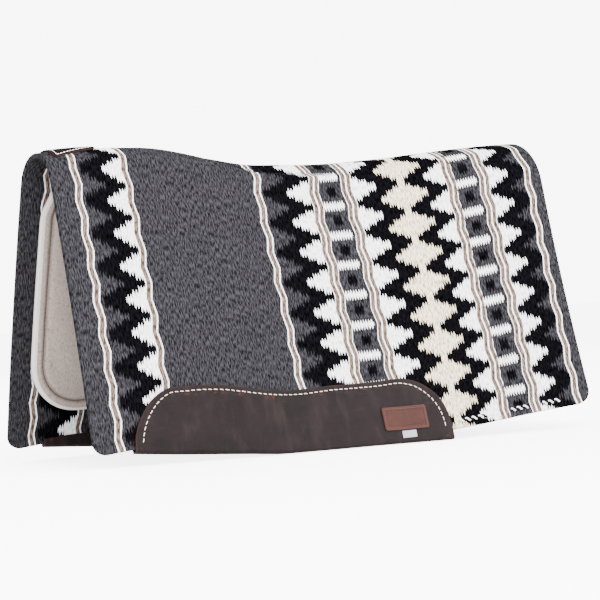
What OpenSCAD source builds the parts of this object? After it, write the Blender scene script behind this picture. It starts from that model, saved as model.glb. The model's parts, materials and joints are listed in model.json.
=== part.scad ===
// Contoured western saddle pad: woven wool blanket over a cushion core and a wool felt liner,
// draped as it lies on a horse, with wear leathers on both flaps. Millimetres, +Z up.
// +X points to the croup, the withers are at -X, and -Y is the near (left) side.
// The pad stands on the lower edges of its wear leathers, at z = 0.

/* [Blanket] */
// Length along the spine
pad_len = 864; // [760:2:920]
// Drop of one side, from the spine to the hem, measured over the outside
drop = 483; // [440:1:520]
// Thickness of the woven blanket
blanket_t = 7; // [5:0.5:9]
// Radius of the hem corners
blanket_corner_r = 22; // [10:1:40]

/* [Contour] */
// Droop of the spine at the front edge
front_droop = 8; // [0:1:12]
// Fall of the spine from the withers to the dip
withers_fall = 28; // [0:1:45]
// Rise of the spine from the dip to the croup
croup_rise = 33; // [0:1:50]
// Outside radius of the crest at the front
crest_r_front = 55; // [45:1:75]
// Outside radius of the crest in the dip
crest_r_mid = 42; // [36:1:70]
// Outside radius of the crest at the rear
crest_r_rear = 85; // [60:1:100]
// Lean of the flap from the vertical below the shoulder, at the front
lean_front = 16; // [10:0.5:24]
// Lean of the flap in the middle
lean_mid = 22; // [10:0.5:26]
// Lean of the flap at the rear
lean_rear = 13; // [8:0.5:24]
// Outward sweep of the hem at the front, negative where the flap tucks in
sweep_front = -17; // [-25:1:25]
// Outward sweep of the hem in the middle
sweep_mid = -27; // [-30:1:25]
// Outward sweep of the hem at the rear
sweep_rear = 17; // [-25:1:30]

/* [Fold] */
// Height of the fold line below the front of the crest
fold_below_crest = 78; // [72:1:95]
// How far a flap folds inwards, in degrees
fold_in = 8; // [4:1:10]

/* [Cushion core and felt] */
// Thickness of the cushion core
core_t = 4.5; // [3:0.5:6]
// Thickness of the felt liner
felt_t = 10; // [8:0.5:13]
// Inset of the felt from the front and rear edges of the blanket
felt_inset = 28; // [20:1:50]
// Inset of the felt from the hem
felt_hem_inset = 50; // [36:1:70]
// Extra inset of the felt over the withers
felt_relief = 17; // [5:1:30]
// Radius of the lower corners of the felt
felt_corner_r = 85; // [40:1:100]
// Distance of the border stitching from the edge of the felt
felt_stitch_inset = 17; // [12:1:24]

/* [Wear leather] */
// Thickness of the wear leather
leather_t = 2.5; // [2:0.25:3]
// Front end of the wear leather, from the front edge of the pad
leather_start = 61; // [40:1:90]
// Length of the wear leather along the hem
leather_len = 531; // [480:1:600]
// Distance of the leather's top edge from the spine, front half
leather_top_front = 399; // [385:1:405]
// Distance of the leather's top edge from the spine, rear half
leather_top_rear = 388; // [375:1:400]
// Length of the rounded front end of the leather
leather_nose = 72; // [60:1:110]
// Length of the rounded rear end of the leather
leather_tail = 88; // [50:1:100]
// Height of the leather's lower edge over the ground at its front end
leather_foot_rise = 19; // [0:1:20]
// Length over which the lower edge comes down to the ground
leather_foot_run = 255; // [150:5:300]
// Height of the lip that is folded up behind the hem
leather_lip = 8; // [4:1:40]
// Distance of the stitching from the leather's edge
leather_stitch_inset = 9; // [7:1:15]

/* [Label, tag and withers patch] */
// Front end of the label patch, from the front edge of the pad
label_start = 473; // [440:1:490]
// Length of the label patch
label_len = 76; // [50:1:80]
// Height of the label patch
label_h = 37; // [30:1:38]
// Distance of the label's front upper corner from the spine
label_top = 431; // [424:1:432]
// Fall of the label over its length
label_fall = 5; // [0:1:6]
// Front end of the woven tag, from the front edge of the pad
tag_start = 502; // [480:1:520]
// Length of the woven tag
tag_len = 23; // [15:1:30]
// Height of the woven tag
tag_h = 10; // [6:1:11]
// Front end of the withers patch, from the front edge of the pad
patch_start = 15; // [10:1:30]
// Length of the withers patch
patch_len = 74; // [50:1:90]
// Half width of the withers patch, measured over the crest
patch_half = 36; // [28:1:38]
// How much the patch narrows on each side towards its rear end
patch_taper = 19; // [0:1:22]

/* [Hidden] */

air = 0.3;                       // clearance between stacked layers
tape_t = 1;                      // thickness of the seam tape
thread_t = 0.8;                  // thickness of the sewing thread
tape_half = 20;                  // half width of the seam tape
seam_start = 210;                // front end of the contour seam, from the front edge
seam_len = 330;                  // length of the contour seam
selvedge_h = 3;                  // height of the twined edge cord at the hem
core_d = blanket_t + tape_t + 2*air;         // depth of the core's outer face
felt_d = core_d + core_t + air;              // depth of the felt's outer face
felt_in_d = felt_d + felt_t;                 // depth of the felt's inner face
x_front = -pad_len/2;
x_rear = pad_len/2;
hem_bottom = blanket_t + air + leather_t;    // depth of the inner face of the leather's lip

blanket_col = "dimgray";
core_col = "ivory";
felt_col = "tan";
leather_col = "saddlebrown";
thread_col = "wheat";
label_col = "sienna";

// ---------- Contour of the outside, as functions of the place t along the pad, 0 to 1 ----------
function along(x) = x/pad_len + 0.5;
function ease(k) = let(c = min(max(k, 0), 1)) c*c*(3 - 2*c);
function arch(front, mid, rear, t) = front*(1 - t)*(1 - 2*t) + 4*mid*t*(1 - t) + rear*t*(2*t - 1);
function spine_rise(t) = -front_droop*pow(1 - min(t/0.15, 1), 2)
    - withers_fall*ease((t - 0.19)/0.24) + croup_rise*ease((t - 0.5)/0.55);
function crest_r(t) = arch(crest_r_front, crest_r_mid, crest_r_rear, t);
function lean(t) = arch(lean_front, lean_mid, lean_rear, t);
function sweep(t) = arch(sweep_front, sweep_mid, sweep_rear, t);
function shoulder_v(t) = crest_r(t)*(90 - lean(t))*PI/180;
function flap_len(t) = drop - shoulder_v(t);
function past_shoulder(t, v) = max(v - shoulder_v(t), 0);

// Angle of the outward normal above the horizontal, at v from the spine
function tilt(t, v) = v < shoulder_v(t)
    ? 90 - v/crest_r(t)*180/PI
    : atan2(sin(lean(t)) + 2*sweep(t)*past_shoulder(t, v)/pow(flap_len(t), 2), cos(lean(t)));

// Outside of the section at t, relative to the spine's height at the front: [y, z]
function skin(t, v) = let(r = crest_r(t), e = past_shoulder(t, v), s = min(v, shoulder_v(t))/r*180/PI)
    [r*sin(s) + e*sin(lean(t)) + sweep(t)*pow(e/flap_len(t), 2),
     spine_rise(t) - r + r*cos(s) - e*cos(lean(t))];

// Point of the right half at depth d inside the skin; a negative v lies on the left half
function raw_point(t, v, d) = let(q = skin(t, abs(v)), k = tilt(t, abs(v)))
    [(v < 0 ? -1 : 1)*(q[0] - d*cos(k)), q[1] - d*sin(k)];

// The pad is lifted until the lowest stretch of the leathers' folded edge lies at z = 0
spans = [for (i = [0:40]) i/40];
lift = max([for (t = spans) -raw_point(t, drop + leather_t + air, hem_bottom)[1]]);

function point(x, v, d) = let(p = raw_point(along(x), v, d)) [x, p[0], p[1] + lift];

// ---------- Fold line: a straight axis just outside the blanket, on both sides ----------
fold_z = lift - fold_below_crest;
function fold_v(t) = let(s = shoulder_v(t))
    s + (skin(t, s)[1] + lift - fold_z)/cos(lean(t));
fold_y_front = skin(0, fold_v(0))[0] + 2;
fold_y_rear = skin(1, fold_v(1))[0] + 2;
function fold_y(t) = fold_y_front + (fold_y_rear - fold_y_front)*t;

// Room that a layer of depth d needs below the fold line for the flap to fold inwards
function fold_gap(t, d) = 1 + (fold_y(t) - skin(t, fold_v(t))[0] + d)*tan(fold_in + 1);

// ---------- Lofts: rings of one size, each in a plane of constant x ----------
// Stations between x0 and x1: every layer shares one grid of the given number of spans over the
// pad's length, and has its own stations over its rounded ends r0 and r1
function stations(x0, x1, r0, r1, spans) = let(pitch = pad_len/spans) concat(
    [for (k = [0:5]) x0 + r0*(1 - cos(k*18))],
    [for (i = [ceil((x0 + r0 + 2 - x_front)/pitch):floor((x1 - r1 - 2 - x_front)/pitch)])
        x_front + i*pitch],
    [for (k = [5:-1:0]) x1 - r1*(1 - cos(k*18))]);

// How much a rounded end of length a and height b takes off at distance dx from the end
function end_trim(dx, a, b, power) = dx >= a ? 0 : b*(1 - pow(1 - pow(1 - dx/a, power), 1/power));

// A ring goes out along one face and back along the other, so its end cap is a strip of quads
module loft(rings) {
    n = len(rings);
    m = len(rings[0]);
    pts = [for (r = rings) for (p = r) p];
    sides = [for (i = [0:n - 2]) for (j = [0:m - 1]) let(a = i*m + j, b = i*m + (j + 1)%m)
             each [[a, b, b + m], [a, b + m, a + m]]];
    caps = [for (j = [0:m/2 - 2]) let(a = j, b = m - 1 - j, c = (n - 1)*m)
            each [[a, b, b - 1], [a, b - 1, a + 1], [c + a, c + b - 1, c + b], [c + a, c + a + 1, c + b - 1]]];
    polyhedron(pts, concat(sides, caps), convexity = 6);
}

// Ring of a layer between depths d0 and d1, from v0 to v1 in n steps
function layer_ring(x, v0, v1, d0, d1, n) = concat(
    [for (k = [0:n]) point(x, v0 + (v1 - v0)*k/n, d0)],
    [for (k = [n:-1:0]) point(x, v0 + (v1 - v0)*k/n, d1)]);

module on_side(side) {
    if (side == "left") mirror([0, 1, 0]) children();
    else children();
}

// A straight stitch at depth d that follows the surface's slope: heading is its turn from +X
module stitch(x, v, d, heading, length) {
    half = [cos(heading), sin(heading)]*length/2;
    a = point(x - half[0], v - half[1], d);
    b = point(x + half[0], v + half[1], d);
    c = b - a;
    translate((a + b)/2)
        rotate([0, -atan2(c[2], norm([c[0], c[1]])), atan2(c[1], c[0])])
            cube([length, thread_t, thread_t], center = true);
}

// Stitches along a path of [x, v] points at depth d
module stitch_path(path, d, length) {
    for (k = [0:len(path) - 2]) {
        step = path[k + 1] - path[k];
        mid = (path[k + 1] + path[k])/2;
        stitch(mid[0], mid[1], d, atan2(step[1], step[0]), length);
    }
}

// ---------- Spine: the layers over the crest ----------
// Places across the crest, out to v on both sides, with the seam tape's own places among them
function crest_places(v) = concat(
    [for (k = [5:-1:1]) -tape_half - (v - tape_half)*k/5],
    [for (k = [-2:2]) tape_half*k/2],
    [for (k = [1:5]) tape_half + (v - tape_half)*k/5]);

function crest_ring(x, v, d0, d1) = let(places = crest_places(v), n = len(places)) concat(
    [for (k = [0:n - 1]) point(x, places[k], d0)],
    [for (k = [n - 1:-1:0]) point(x, places[k], d1)]);

module crest_layer(x0, x1, d0, d1) {
    loft([for (x = stations(x0, x1, 6, 6, 36)) crest_ring(x, fold_v(along(x)) - 0.5, d0, d1)]);
}

module blanket_crest() {
    color(blanket_col) crest_layer(x_front, x_rear, 0, blanket_t);
}

module core_crest() {
    color(core_col)
        crest_layer(x_front + felt_inset + felt_relief + 4, x_rear - felt_inset - 4,
                    core_d, core_d + core_t);
}

module felt_crest() {
    color(felt_col)
        crest_layer(x_front + felt_inset + felt_relief, x_rear - felt_inset, felt_d, felt_in_d);
}

module spine_seam_tape() {
    x0 = x_front + seam_start - 10;
    x1 = x0 + seam_len + 20;
    color(core_col)
        loft([for (x = stations(x0, x1, 4, 4, 36))
              layer_ring(x, -tape_half, tape_half, blanket_t + air, blanket_t + air + tape_t, 4)]);
}

module spine_seam_thread() {
    pitch = 11;
    color(blanket_col)
        for (k = [0:seam_len/pitch])
            stitch(x_front + seam_start + k*pitch, 0, -air - thread_t/2, k%2 == 0 ? 24 : -24, 9);
}

// Half width of the withers patch at x
function patch_edge(x) = patch_half - patch_taper*(x - x_front - patch_start)/patch_len;

module withers_patch() {
    x0 = x_front + patch_start;
    color(leather_col)
        loft([for (x = stations(x0, x0 + patch_len, 5, 5, 36))
              let(dx = min(x - x0, x0 + patch_len - x), v = patch_edge(x) - end_trim(dx, 5, 5, 2))
              layer_ring(x, -v, v, -air - leather_t, -air, 10)]);
}

module withers_patch_stitching() {
    x0 = x_front + patch_start + 6;
    x1 = x_front + patch_start + patch_len - 6;
    d = -air*2 - leather_t - thread_t/2;
    color(thread_col) {
        for (x = [x0, x1])
            for (k = [-4:4]) stitch(x, k*(patch_edge(x) - 6)/4.6, d, 90, 4.6);
        for (side = [-1, 1])
            for (k = [1:8])
                let(x = x0 + (x1 - x0)*k/9) stitch(x, side*(patch_edge(x) - 6), d, 0, 5);
    }
}

// ---------- Flaps: the same pieces on both sides, drawn on the right and mirrored ----------
module flap_layer(x0, x1, hem_v, corner, d0, d1) {
    loft([for (x = stations(x0, x1, corner, corner, 24))
          let(t = along(x), dx = min(x - x0, x1 - x))
          layer_ring(x, fold_v(t) + fold_gap(t, d1), hem_v - end_trim(dx, corner, corner, 2), d0, d1, 6)]);
}

module flap_blanket(side) {
    color(blanket_col)
        on_side(side)
            flap_layer(x_front, x_rear, drop - selvedge_h - air, blanket_corner_r, 0, blanket_t);
}

module flap_core(side) {
    color(core_col)
        on_side(side)
            flap_layer(x_front + felt_inset + 4, x_rear - felt_inset - 4, drop - felt_hem_inset - 4,
                       felt_corner_r - 4, core_d, core_d + core_t);
}

module flap_felt(side) {
    color(felt_col)
        on_side(side)
            flap_layer(x_front + felt_inset, x_rear - felt_inset, drop - felt_hem_inset,
                       felt_corner_r, felt_d, felt_in_d);
}

// Border of the felt from the fold line down the front, along the hem and up the rear: [x, v]
function felt_border() = let(
    x0 = x_front + felt_inset + felt_stitch_inset,
    x1 = x_rear - felt_inset - felt_stitch_inset,
    v1 = drop - felt_hem_inset - felt_stitch_inset,
    r = felt_corner_r - felt_stitch_inset,
    v0 = fold_v(0) + 20)
    concat([for (k = [0:12]) [x0, v0 + (v1 - r - v0)*k/12]],
           [for (k = [1:5]) [x0 + r*(1 - cos(k*18)), v1 - r*(1 - sin(k*18))]],
           [for (k = [1:26]) [x0 + r + (x1 - x0 - 2*r)*k/26, v1]],
           [for (k = [1:5]) [x1 - r*(1 - sin(k*18)), v1 - r*(1 - cos(k*18))]],
           [for (k = [1:10]) [x1, v1 - r - (v1 - r - v0 - 30)*k/10]]);

module flap_felt_stitching(side) {
    color(thread_col)
        on_side(side)
            stitch_path(felt_border(), felt_in_d + air*2 + thread_t/2, 13);
}

// Top edge of the wear leather, at dx from its front end
function leather_top(dx) = let(
    level = leather_top_front + (leather_top_rear - leather_top_front)*ease((dx - 190)/150),
    depth = drop - 3 - level)
    level + end_trim(dx, leather_nose, depth, 1.7) + end_trim(leather_len - dx, leather_tail, depth, 2);

// Height of the leather's lower edge at dx from its front end
function leather_foot(dx) = leather_foot_rise*max(0, 1 - dx/leather_foot_run);

// Point below the hem at depth d, down the line of the flap to the leather's lower edge
function foot_point(x, d) = let(p = point(x, drop, d), k = tilt(along(x), drop),
    s = (p[2] - leather_foot(x - x_front - leather_start))/cos(k)) p + [0, s*sin(k), -s*cos(k)];

function leather_ring(x, top) = concat(
    [for (k = [0:4]) point(x, top + (drop - top)*k/4, -air - leather_t)],
    [foot_point(x, -air - leather_t), foot_point(x, hem_bottom)],
    [for (k = [0:2]) point(x, drop - leather_lip*k/2, hem_bottom)],
    [for (k = [2:-1:0]) point(x, drop + air - (leather_lip + air)*k/2, blanket_t + air)],
    [for (k = [2, 1]) point(x, drop + air, blanket_t*k/3)],
    [for (k = [4:-1:0]) point(x, top + (drop + air - top)*k/4, -air)]);

module flap_wear_leather(side) {
    x0 = x_front + leather_start;
    color(leather_col)
        on_side(side)
            loft([for (x = stations(x0, x0 + leather_len, leather_nose, leather_tail, 24))
                  leather_ring(x, leather_top(x - x0))]);
}

module flap_wear_stitching(side) {
    x0 = x_front + leather_start;
    inset = leather_stitch_inset;
    path = [for (k = [0:70]) let(dx = inset + (leather_len - 2*inset)*(1 - cos(k*180/70))/2)
            [x0 + dx, min(leather_top(dx) + inset, drop - 3)]];
    color(thread_col)
        on_side(side)
            stitch_path(path, -2*air - leather_t - thread_t/2, 4);
}

module flap_selvedge(side) {
    color(blanket_col)
        on_side(side)
            loft([for (x = stations(x_front + blanket_corner_r, x_rear - blanket_corner_r, 6, 6, 24))
                  layer_ring(x, drop - selvedge_h, drop, 0.5, blanket_t - 0.5, 1)]);
}

// ---------- Label and tag on the near side ----------
label_d = -2*air - leather_t;
label_t = 2;
tag_t = 1;

module label_patch() {
    x0 = x_front + label_start;
    color(label_col)
        on_side("left")
            loft([for (x = stations(x0, x0 + label_len, 3, 3, 24))
                  let(v = label_top + (x - x0)*label_fall/label_len,
                      trim = end_trim(min(x - x0, x0 + label_len - x), 3, 3, 2))
                  layer_ring(x, v + trim, v + label_h - trim, label_d - label_t, label_d, 2)]);
}

module label_stitching() {
    x0 = x_front + label_start + 4;
    x1 = x0 + label_len - 8;
    fall = label_fall/label_len;
    v0 = label_top + 4;
    v1 = label_top + label_h - 4;
    path = concat([for (k = [0:11]) [x0 + (x1 - x0)*k/11, v0 + (x1 - x0)*k/11*fall]],
                  [for (k = [1:6]) [x1, v0 + (v1 - v0)*k/6 + (x1 - x0)*fall]],
                  [for (k = [10:-1:0]) [x0 + (x1 - x0)*k/11, v1 + (x1 - x0)*k/11*fall]],
                  [for (k = [5:-1:0]) [x0, v0 + (v1 - v0)*k/6]]);
    color(thread_col)
        on_side("left")
            stitch_path(path, label_d - label_t - air - thread_t/2, 3.4);
}

module woven_tag() {
    x0 = x_front + tag_start;
    color("silver")
        on_side("left")
            loft([for (k = [0:3]) let(x = x0 + tag_len*k/3, v = label_top + label_h + 4 + k*2/3)
                  layer_ring(x, v, v + tag_h, label_d - tag_t, label_d, 1)]);
}

blanket_crest();
core_crest();
felt_crest();
spine_seam_tape();
spine_seam_thread();
withers_patch();
withers_patch_stitching();
flap_blanket("left");  // left_blanket
flap_core("left");  // left_core
flap_felt("left");  // left_felt
flap_felt_stitching("left");  // left_felt_stitching
flap_wear_leather("left");  // left_wear_leather
flap_wear_stitching("left");  // left_wear_stitching
flap_selvedge("left");  // left_selvedge
flap_blanket("right");  // right_blanket
flap_core("right");  // right_core
flap_felt("right");  // right_felt
flap_felt_stitching("right");  // right_felt_stitching
flap_wear_leather("right");  // right_wear_leather
flap_wear_stitching("right");  // right_wear_stitching
flap_selvedge("right");  // right_selvedge
label_patch();
label_stitching();
woven_tag();
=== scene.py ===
"""Looks of a contoured western saddle pad: woven blanket, felt liner, leathers, label and withers patch."""

import json
import logging
import math
from dataclasses import dataclass, field
from enum import Enum
from typing import Any, Callable, Sequence

import bmesh
import bpy
import numpy as np
from mathutils import Matrix, Vector

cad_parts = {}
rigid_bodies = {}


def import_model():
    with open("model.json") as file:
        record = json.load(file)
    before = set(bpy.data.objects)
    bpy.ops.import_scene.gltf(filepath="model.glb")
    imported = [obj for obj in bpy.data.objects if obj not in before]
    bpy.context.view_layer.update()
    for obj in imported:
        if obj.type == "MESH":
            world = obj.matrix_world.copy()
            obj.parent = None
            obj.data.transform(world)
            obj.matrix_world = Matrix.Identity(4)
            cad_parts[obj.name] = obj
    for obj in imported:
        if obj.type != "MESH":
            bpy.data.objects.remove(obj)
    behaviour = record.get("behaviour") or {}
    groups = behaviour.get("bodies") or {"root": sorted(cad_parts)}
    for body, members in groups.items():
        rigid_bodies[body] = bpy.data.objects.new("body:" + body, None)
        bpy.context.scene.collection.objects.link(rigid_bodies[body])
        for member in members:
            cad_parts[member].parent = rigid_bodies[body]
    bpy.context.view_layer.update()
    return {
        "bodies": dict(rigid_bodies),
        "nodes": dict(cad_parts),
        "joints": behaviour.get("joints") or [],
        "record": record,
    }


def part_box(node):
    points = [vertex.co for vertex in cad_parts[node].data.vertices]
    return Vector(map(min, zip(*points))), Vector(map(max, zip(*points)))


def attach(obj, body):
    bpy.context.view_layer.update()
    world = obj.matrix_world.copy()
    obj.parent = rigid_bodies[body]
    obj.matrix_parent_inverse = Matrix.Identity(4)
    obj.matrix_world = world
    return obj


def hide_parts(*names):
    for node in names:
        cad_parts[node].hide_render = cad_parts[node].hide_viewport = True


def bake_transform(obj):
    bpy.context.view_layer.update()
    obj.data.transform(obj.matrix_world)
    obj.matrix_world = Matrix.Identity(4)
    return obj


LOG = logging.getLogger("saddle_pad")
FLAT_MAP = "Flat"
EDGE = "edge_distance"
Values = np.ndarray
Colour = tuple[float, float, float]
Teeth = tuple[float, int, float, int, float]
TOOTH_STEP = 6.3
SQUARE_HALF = 19.6
EYE_HALF = 8.2


class Side(Enum):
    """The two sides of the pad: the near (left) side lies at negative y."""

    NEAR = "left"
    OFF = "right"

    @property
    def sign(self) -> float:
        """Sign of y on this side."""
        return -1.0 if self is Side.NEAR else 1.0

    @property
    def flap(self) -> str:
        """Name of the body that this side's flap belongs to."""
        return f"{self.value}_flap"


# ---------------------------------------------------------------------------------------------
# Shape of the pad as it lies on a back
# ---------------------------------------------------------------------------------------------


def ease(k: Values) -> Values:
    """Smooth step from 0 to 1."""
    c = np.clip(k, 0.0, 1.0)
    return c * c * (3.0 - 2.0 * c)


def rounded(distance: Values, length: float, depth: float, power: float = 2.0) -> Values:
    """How much a rounded end takes off.

    Args:
        distance: Distance from the end.
        length: Length of the rounded end.
        depth: How much it takes off at the very end.
        power: 2 for an ellipse, less for a blunter curve.

    Returns:
        What is taken off at that distance.
    """
    k = np.clip(1.0 - np.asarray(distance) / length, 0.0, 1.0)
    return depth * (1.0 - (1.0 - k**power) ** (1.0 / power))


@dataclass(frozen=True)
class Contour:
    """Outside of the pad: u runs along the spine from the front edge, v down a side from the spine."""

    top: float
    length: float = 0.864
    drop: float = 0.483
    front_droop: float = 0.008
    withers_fall: float = 0.028
    croup_rise: float = 0.033
    crest: tuple[float, float, float] = (0.055, 0.042, 0.085)
    lean: tuple[float, float, float] = (16.0, 22.0, 13.0)
    sweep: tuple[float, float, float] = (-0.017, -0.027, 0.017)
    fold_below_crest: float = 0.078
    ripple: float = 0.0022
    drift_u: tuple[float, float, float] = (0.0, 0.010, 0.002)
    drift_v: tuple[float, float, float] = (-0.001, -0.012, -0.006)
    crease: tuple[tuple[float, float], ...] = (
        (0.245, -0.004), (0.291, 0.011), (0.332, 0.025), (0.353, 0.029),
        (0.393, 0.034), (0.448, 0.041), (0.475, 0.044))
    crease_sink: float = 0.0036
    crease_lip: float = 0.0012
    shift_above: float = 0.003
    shift_below: float = 0.0075

    @staticmethod
    def arch(trio: tuple[float, float, float], t: Values) -> Values:
        """Curve through three values, at the front, in the middle and at the rear."""
        front, mid, rear = trio
        return front * (1 - t) * (1 - 2 * t) + 4 * mid * t * (1 - t) + rear * t * (2 * t - 1)

    def spine_rise(self, t: Values) -> Values:
        """Height of the spine along the pad, over the withers' height."""
        return (-self.front_droop * (1 - np.minimum(t / 0.15, 1)) ** 2
                - self.withers_fall * ease((t - 0.19) / 0.24) + self.croup_rise * ease((t - 0.5) / 0.55))

    @property
    def lift(self) -> float:
        """Height of the withers over the ground."""
        return self.top - float(np.max(self.spine_rise(np.linspace(0.0, 1.0, 401))))

    def shoulder(self, t: Values) -> Values:
        """Distance from the spine at which the crest's curve ends."""
        return self.arch(self.crest, t) * np.radians(90.0 - self.arch(self.lean, t))

    def section(self, t: Values, v: Values) -> tuple[Values, Values, Values]:
        """Outside of one section.

        Args:
            t: Place along the pad, 0 to 1.
            v: Distance from the spine, over the outside; beyond the hem it goes straight on.

        Returns:
            Distance out from the middle, height over the withers, and tilt of the outward normal.
        """
        r, sweep = self.arch(self.crest, t), self.arch(self.sweep, t)
        lean = np.radians(self.arch(self.lean, t))
        shoulder = self.shoulder(t)
        inside = np.minimum(v, self.drop)
        e = np.maximum(inside - shoulder, 0.0)
        flap = self.drop - shoulder
        s = np.minimum(inside, shoulder) / r
        out = r * np.sin(s) + e * np.sin(lean) + sweep * (e / flap) ** 2
        up = self.spine_rise(t) - r + r * np.cos(s) - e * np.cos(lean)
        slope = np.arctan2(np.sin(lean) + 2 * sweep * e / flap**2, np.cos(lean))
        tilt = np.where(inside < shoulder, math.pi / 2 - inside / r, slope)
        beyond = np.maximum(v - self.drop, 0.0)
        return out + beyond * np.sin(tilt), up - beyond * np.cos(tilt), tilt

    def waviness(self, u: Values, v: Values, side: Side) -> Values:
        """How far hand and gravity push the cloth out of the smooth contour."""
        grow = ease((v - 0.10) / 0.30)
        turn = 0.35 if side is Side.NEAR else 0.8
        long = np.sin(2 * math.pi * (u / 0.31 + turn))
        short = np.sin(2 * math.pi * (u / 0.17 + v / 0.8 + turn))
        return self.ripple * grow * (0.6 * long + 0.4 * short)

    def place(self, side: Side, u: Values, v: Values, depth: Values | float) -> Values:
        """Points of a side.

        Args:
            side: Which side; a negative v lies on the other one.
            u: Distance from the front edge, along the spine.
            v: Distance from the spine, over the outside.
            depth: Depth inside the blanket's outer face.

        Returns:
            Array of points, one per row.
        """
        u, v = np.broadcast_arrays(np.asarray(u, float), np.asarray(v, float))
        t = u / self.length
        out, up, tilt = self.section(t, np.abs(v))
        d = depth - self.waviness(u, np.abs(v), side)
        way = np.where(v < 0, -side.sign, side.sign)
        y, z = way * (out - d * np.cos(tilt)), up - d * np.sin(tilt) + self.lift
        return np.stack([u - self.length / 2, y, z], axis=-1)

    def woven(self, u: Values, v: Values) -> Values:
        """Place in the weave of a flat place: the rows lie a little off the cut, as in handwoven cloth."""
        t = u / self.length
        slope = (v - 0.25) * (0.033 * (1 - t) ** 3 + 0.012 * t**2)
        return np.stack([u + self.arch(self.drift_u, t), v + self.arch(self.drift_v, t) - slope], axis=1)

    def seam_drift(self, u: Values, v: Values) -> Values:
        """How far the weave is shifted along the pad at the contour crease, where its two cuts don't meet."""
        line = np.array(self.crease)
        at = np.interp(u, line[:, 0], line[:, 1])
        above = ease((at + 0.0005 - v) / 0.0035)
        below = np.exp(-np.maximum(v - at, 0.0) / 0.040)
        span = ease((u - 0.255) / 0.02) * ease((0.500 - u) / 0.03)
        return span * (self.shift_above * above - self.shift_below * below * (1 - above))

    def crease_depth(self, u: Values, v: Values) -> Values:
        """Depth of the sewn contour crease in the dip, with the lip that the cloth makes above it."""
        line = np.array(self.crease)
        at = np.interp(u, line[:, 0], line[:, 1])
        fade = ease((u - 0.250) / 0.03) * ease((0.475 - u) / 0.06)
        sink = self.crease_sink * np.exp(-(((v - at) / 0.0028) ** 2))
        lip = self.crease_lip * ease((at + 0.001 - v) / 0.004) * ease((v + 0.004) / 0.02)
        return fade * (sink - lip)

    def fold_v(self, t: float) -> float:
        """Distance from the spine to the line where a flap starts to fold."""
        s = float(self.shoulder(np.array(t)))
        up = float(self.section(np.array(t), np.array(s))[1])
        lean = math.radians(float(self.arch(self.lean, np.array(t))))
        return s + (up + self.fold_below_crest) / math.cos(lean)

    def fold_band(self, side: Side, half: float = 0.030) -> tuple[Vector, Vector]:
        """Where the cloth starts and stops bending between the crest and a flap."""
        v = self.fold_v(0.5)
        start, end = self.place(side, np.array([self.length / 2] * 2), np.array([v - half, v + half]), 0.0)
        return Vector(start), Vector((start[0], start[1], end[2]))


# ---------------------------------------------------------------------------------------------
# Tools of the workshop
# ---------------------------------------------------------------------------------------------


def deselect() -> None:
    """Leave edit mode and select nothing."""
    active = bpy.context.view_layer.objects.active
    if active is not None and active.mode != "OBJECT":
        bpy.ops.object.mode_set(mode="OBJECT")
    bpy.ops.object.select_all(action="DESELECT")


def activate(obj: bpy.types.Object) -> None:
    """Select one object alone and make it the active one."""
    deselect()
    obj.select_set(True)
    bpy.context.view_layer.objects.active = obj


def flat_grid(name: str, columns: int, rows: int) -> bpy.types.Object:
    """Add a flat grid of the given number of faces each way, from -0.5 to 0.5."""
    deselect()
    bpy.ops.mesh.primitive_grid_add(x_subdivisions=columns, y_subdivisions=rows, size=1.0, calc_uvs=True)
    obj = bpy.context.view_layer.objects.active
    obj.name = obj.data.name = name
    obj.data.uv_layers[0].name = FLAT_MAP
    return obj


def grid_places(obj: bpy.types.Object) -> tuple[Values, Values]:
    """Places of a flat grid's points, 0 to 1 each way."""
    co = np.empty(len(obj.data.vertices) * 3)
    obj.data.vertices.foreach_get("co", co)
    co = co.reshape(-1, 3)
    return co[:, 0] + 0.5, co[:, 1] + 0.5


def get_points(mesh: bpy.types.Mesh) -> Values:
    """A mesh's points, one per row."""
    co = np.empty(len(mesh.vertices) * 3)
    mesh.vertices.foreach_get("co", co)
    return co.reshape(-1, 3)


def set_points(mesh: bpy.types.Mesh, points: Values) -> None:
    """Move a mesh's points."""
    mesh.vertices.foreach_set("co", np.ascontiguousarray(points, dtype=np.float32).ravel())
    mesh.update()


def set_flat(mesh: bpy.types.Mesh, flat: Values) -> None:
    """Write each point's flat place, in metres, to the mesh's flat map."""
    index = np.empty(len(mesh.loops), dtype=np.int32)
    mesh.loops.foreach_get("vertex_index", index)
    mesh.uv_layers[FLAT_MAP].data.foreach_set("uv", flat[index].astype(np.float32).ravel())


def get_flat(mesh: bpy.types.Mesh) -> Values:
    """Flat place of each point, from the mesh's flat map."""
    index = np.empty(len(mesh.loops), dtype=np.int32)
    mesh.loops.foreach_get("vertex_index", index)
    uv = np.empty(len(mesh.loops) * 2)
    mesh.uv_layers[FLAT_MAP].data.foreach_get("uv", uv)
    flat = np.zeros((len(mesh.vertices), 2))
    flat[index] = uv.reshape(-1, 2)
    return flat


def set_value(mesh: bpy.types.Mesh, name: str, values: Values) -> None:
    """Write one number per point to a named attribute."""
    attribute = mesh.attributes.new(name, "FLOAT", "POINT")
    attribute.data.foreach_set("value", values.astype(np.float32))


def apply(obj: bpy.types.Object, kind: str, **settings: Any) -> None:
    """Add a modifier with these settings and apply it."""
    activate(obj)
    modifier = obj.modifiers.new(kind.title(), kind)
    for key, value in settings.items():
        setattr(modifier, key, value)
    bpy.ops.object.modifier_apply(modifier=modifier.name)


def turn_out(obj: bpy.types.Object) -> None:
    """Flip all the faces of a mesh."""
    activate(obj)
    bpy.ops.object.mode_set(mode="EDIT")
    bpy.ops.mesh.select_all(action="SELECT")
    bpy.ops.mesh.flip_normals()
    bpy.ops.object.mode_set(mode="OBJECT")


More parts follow.
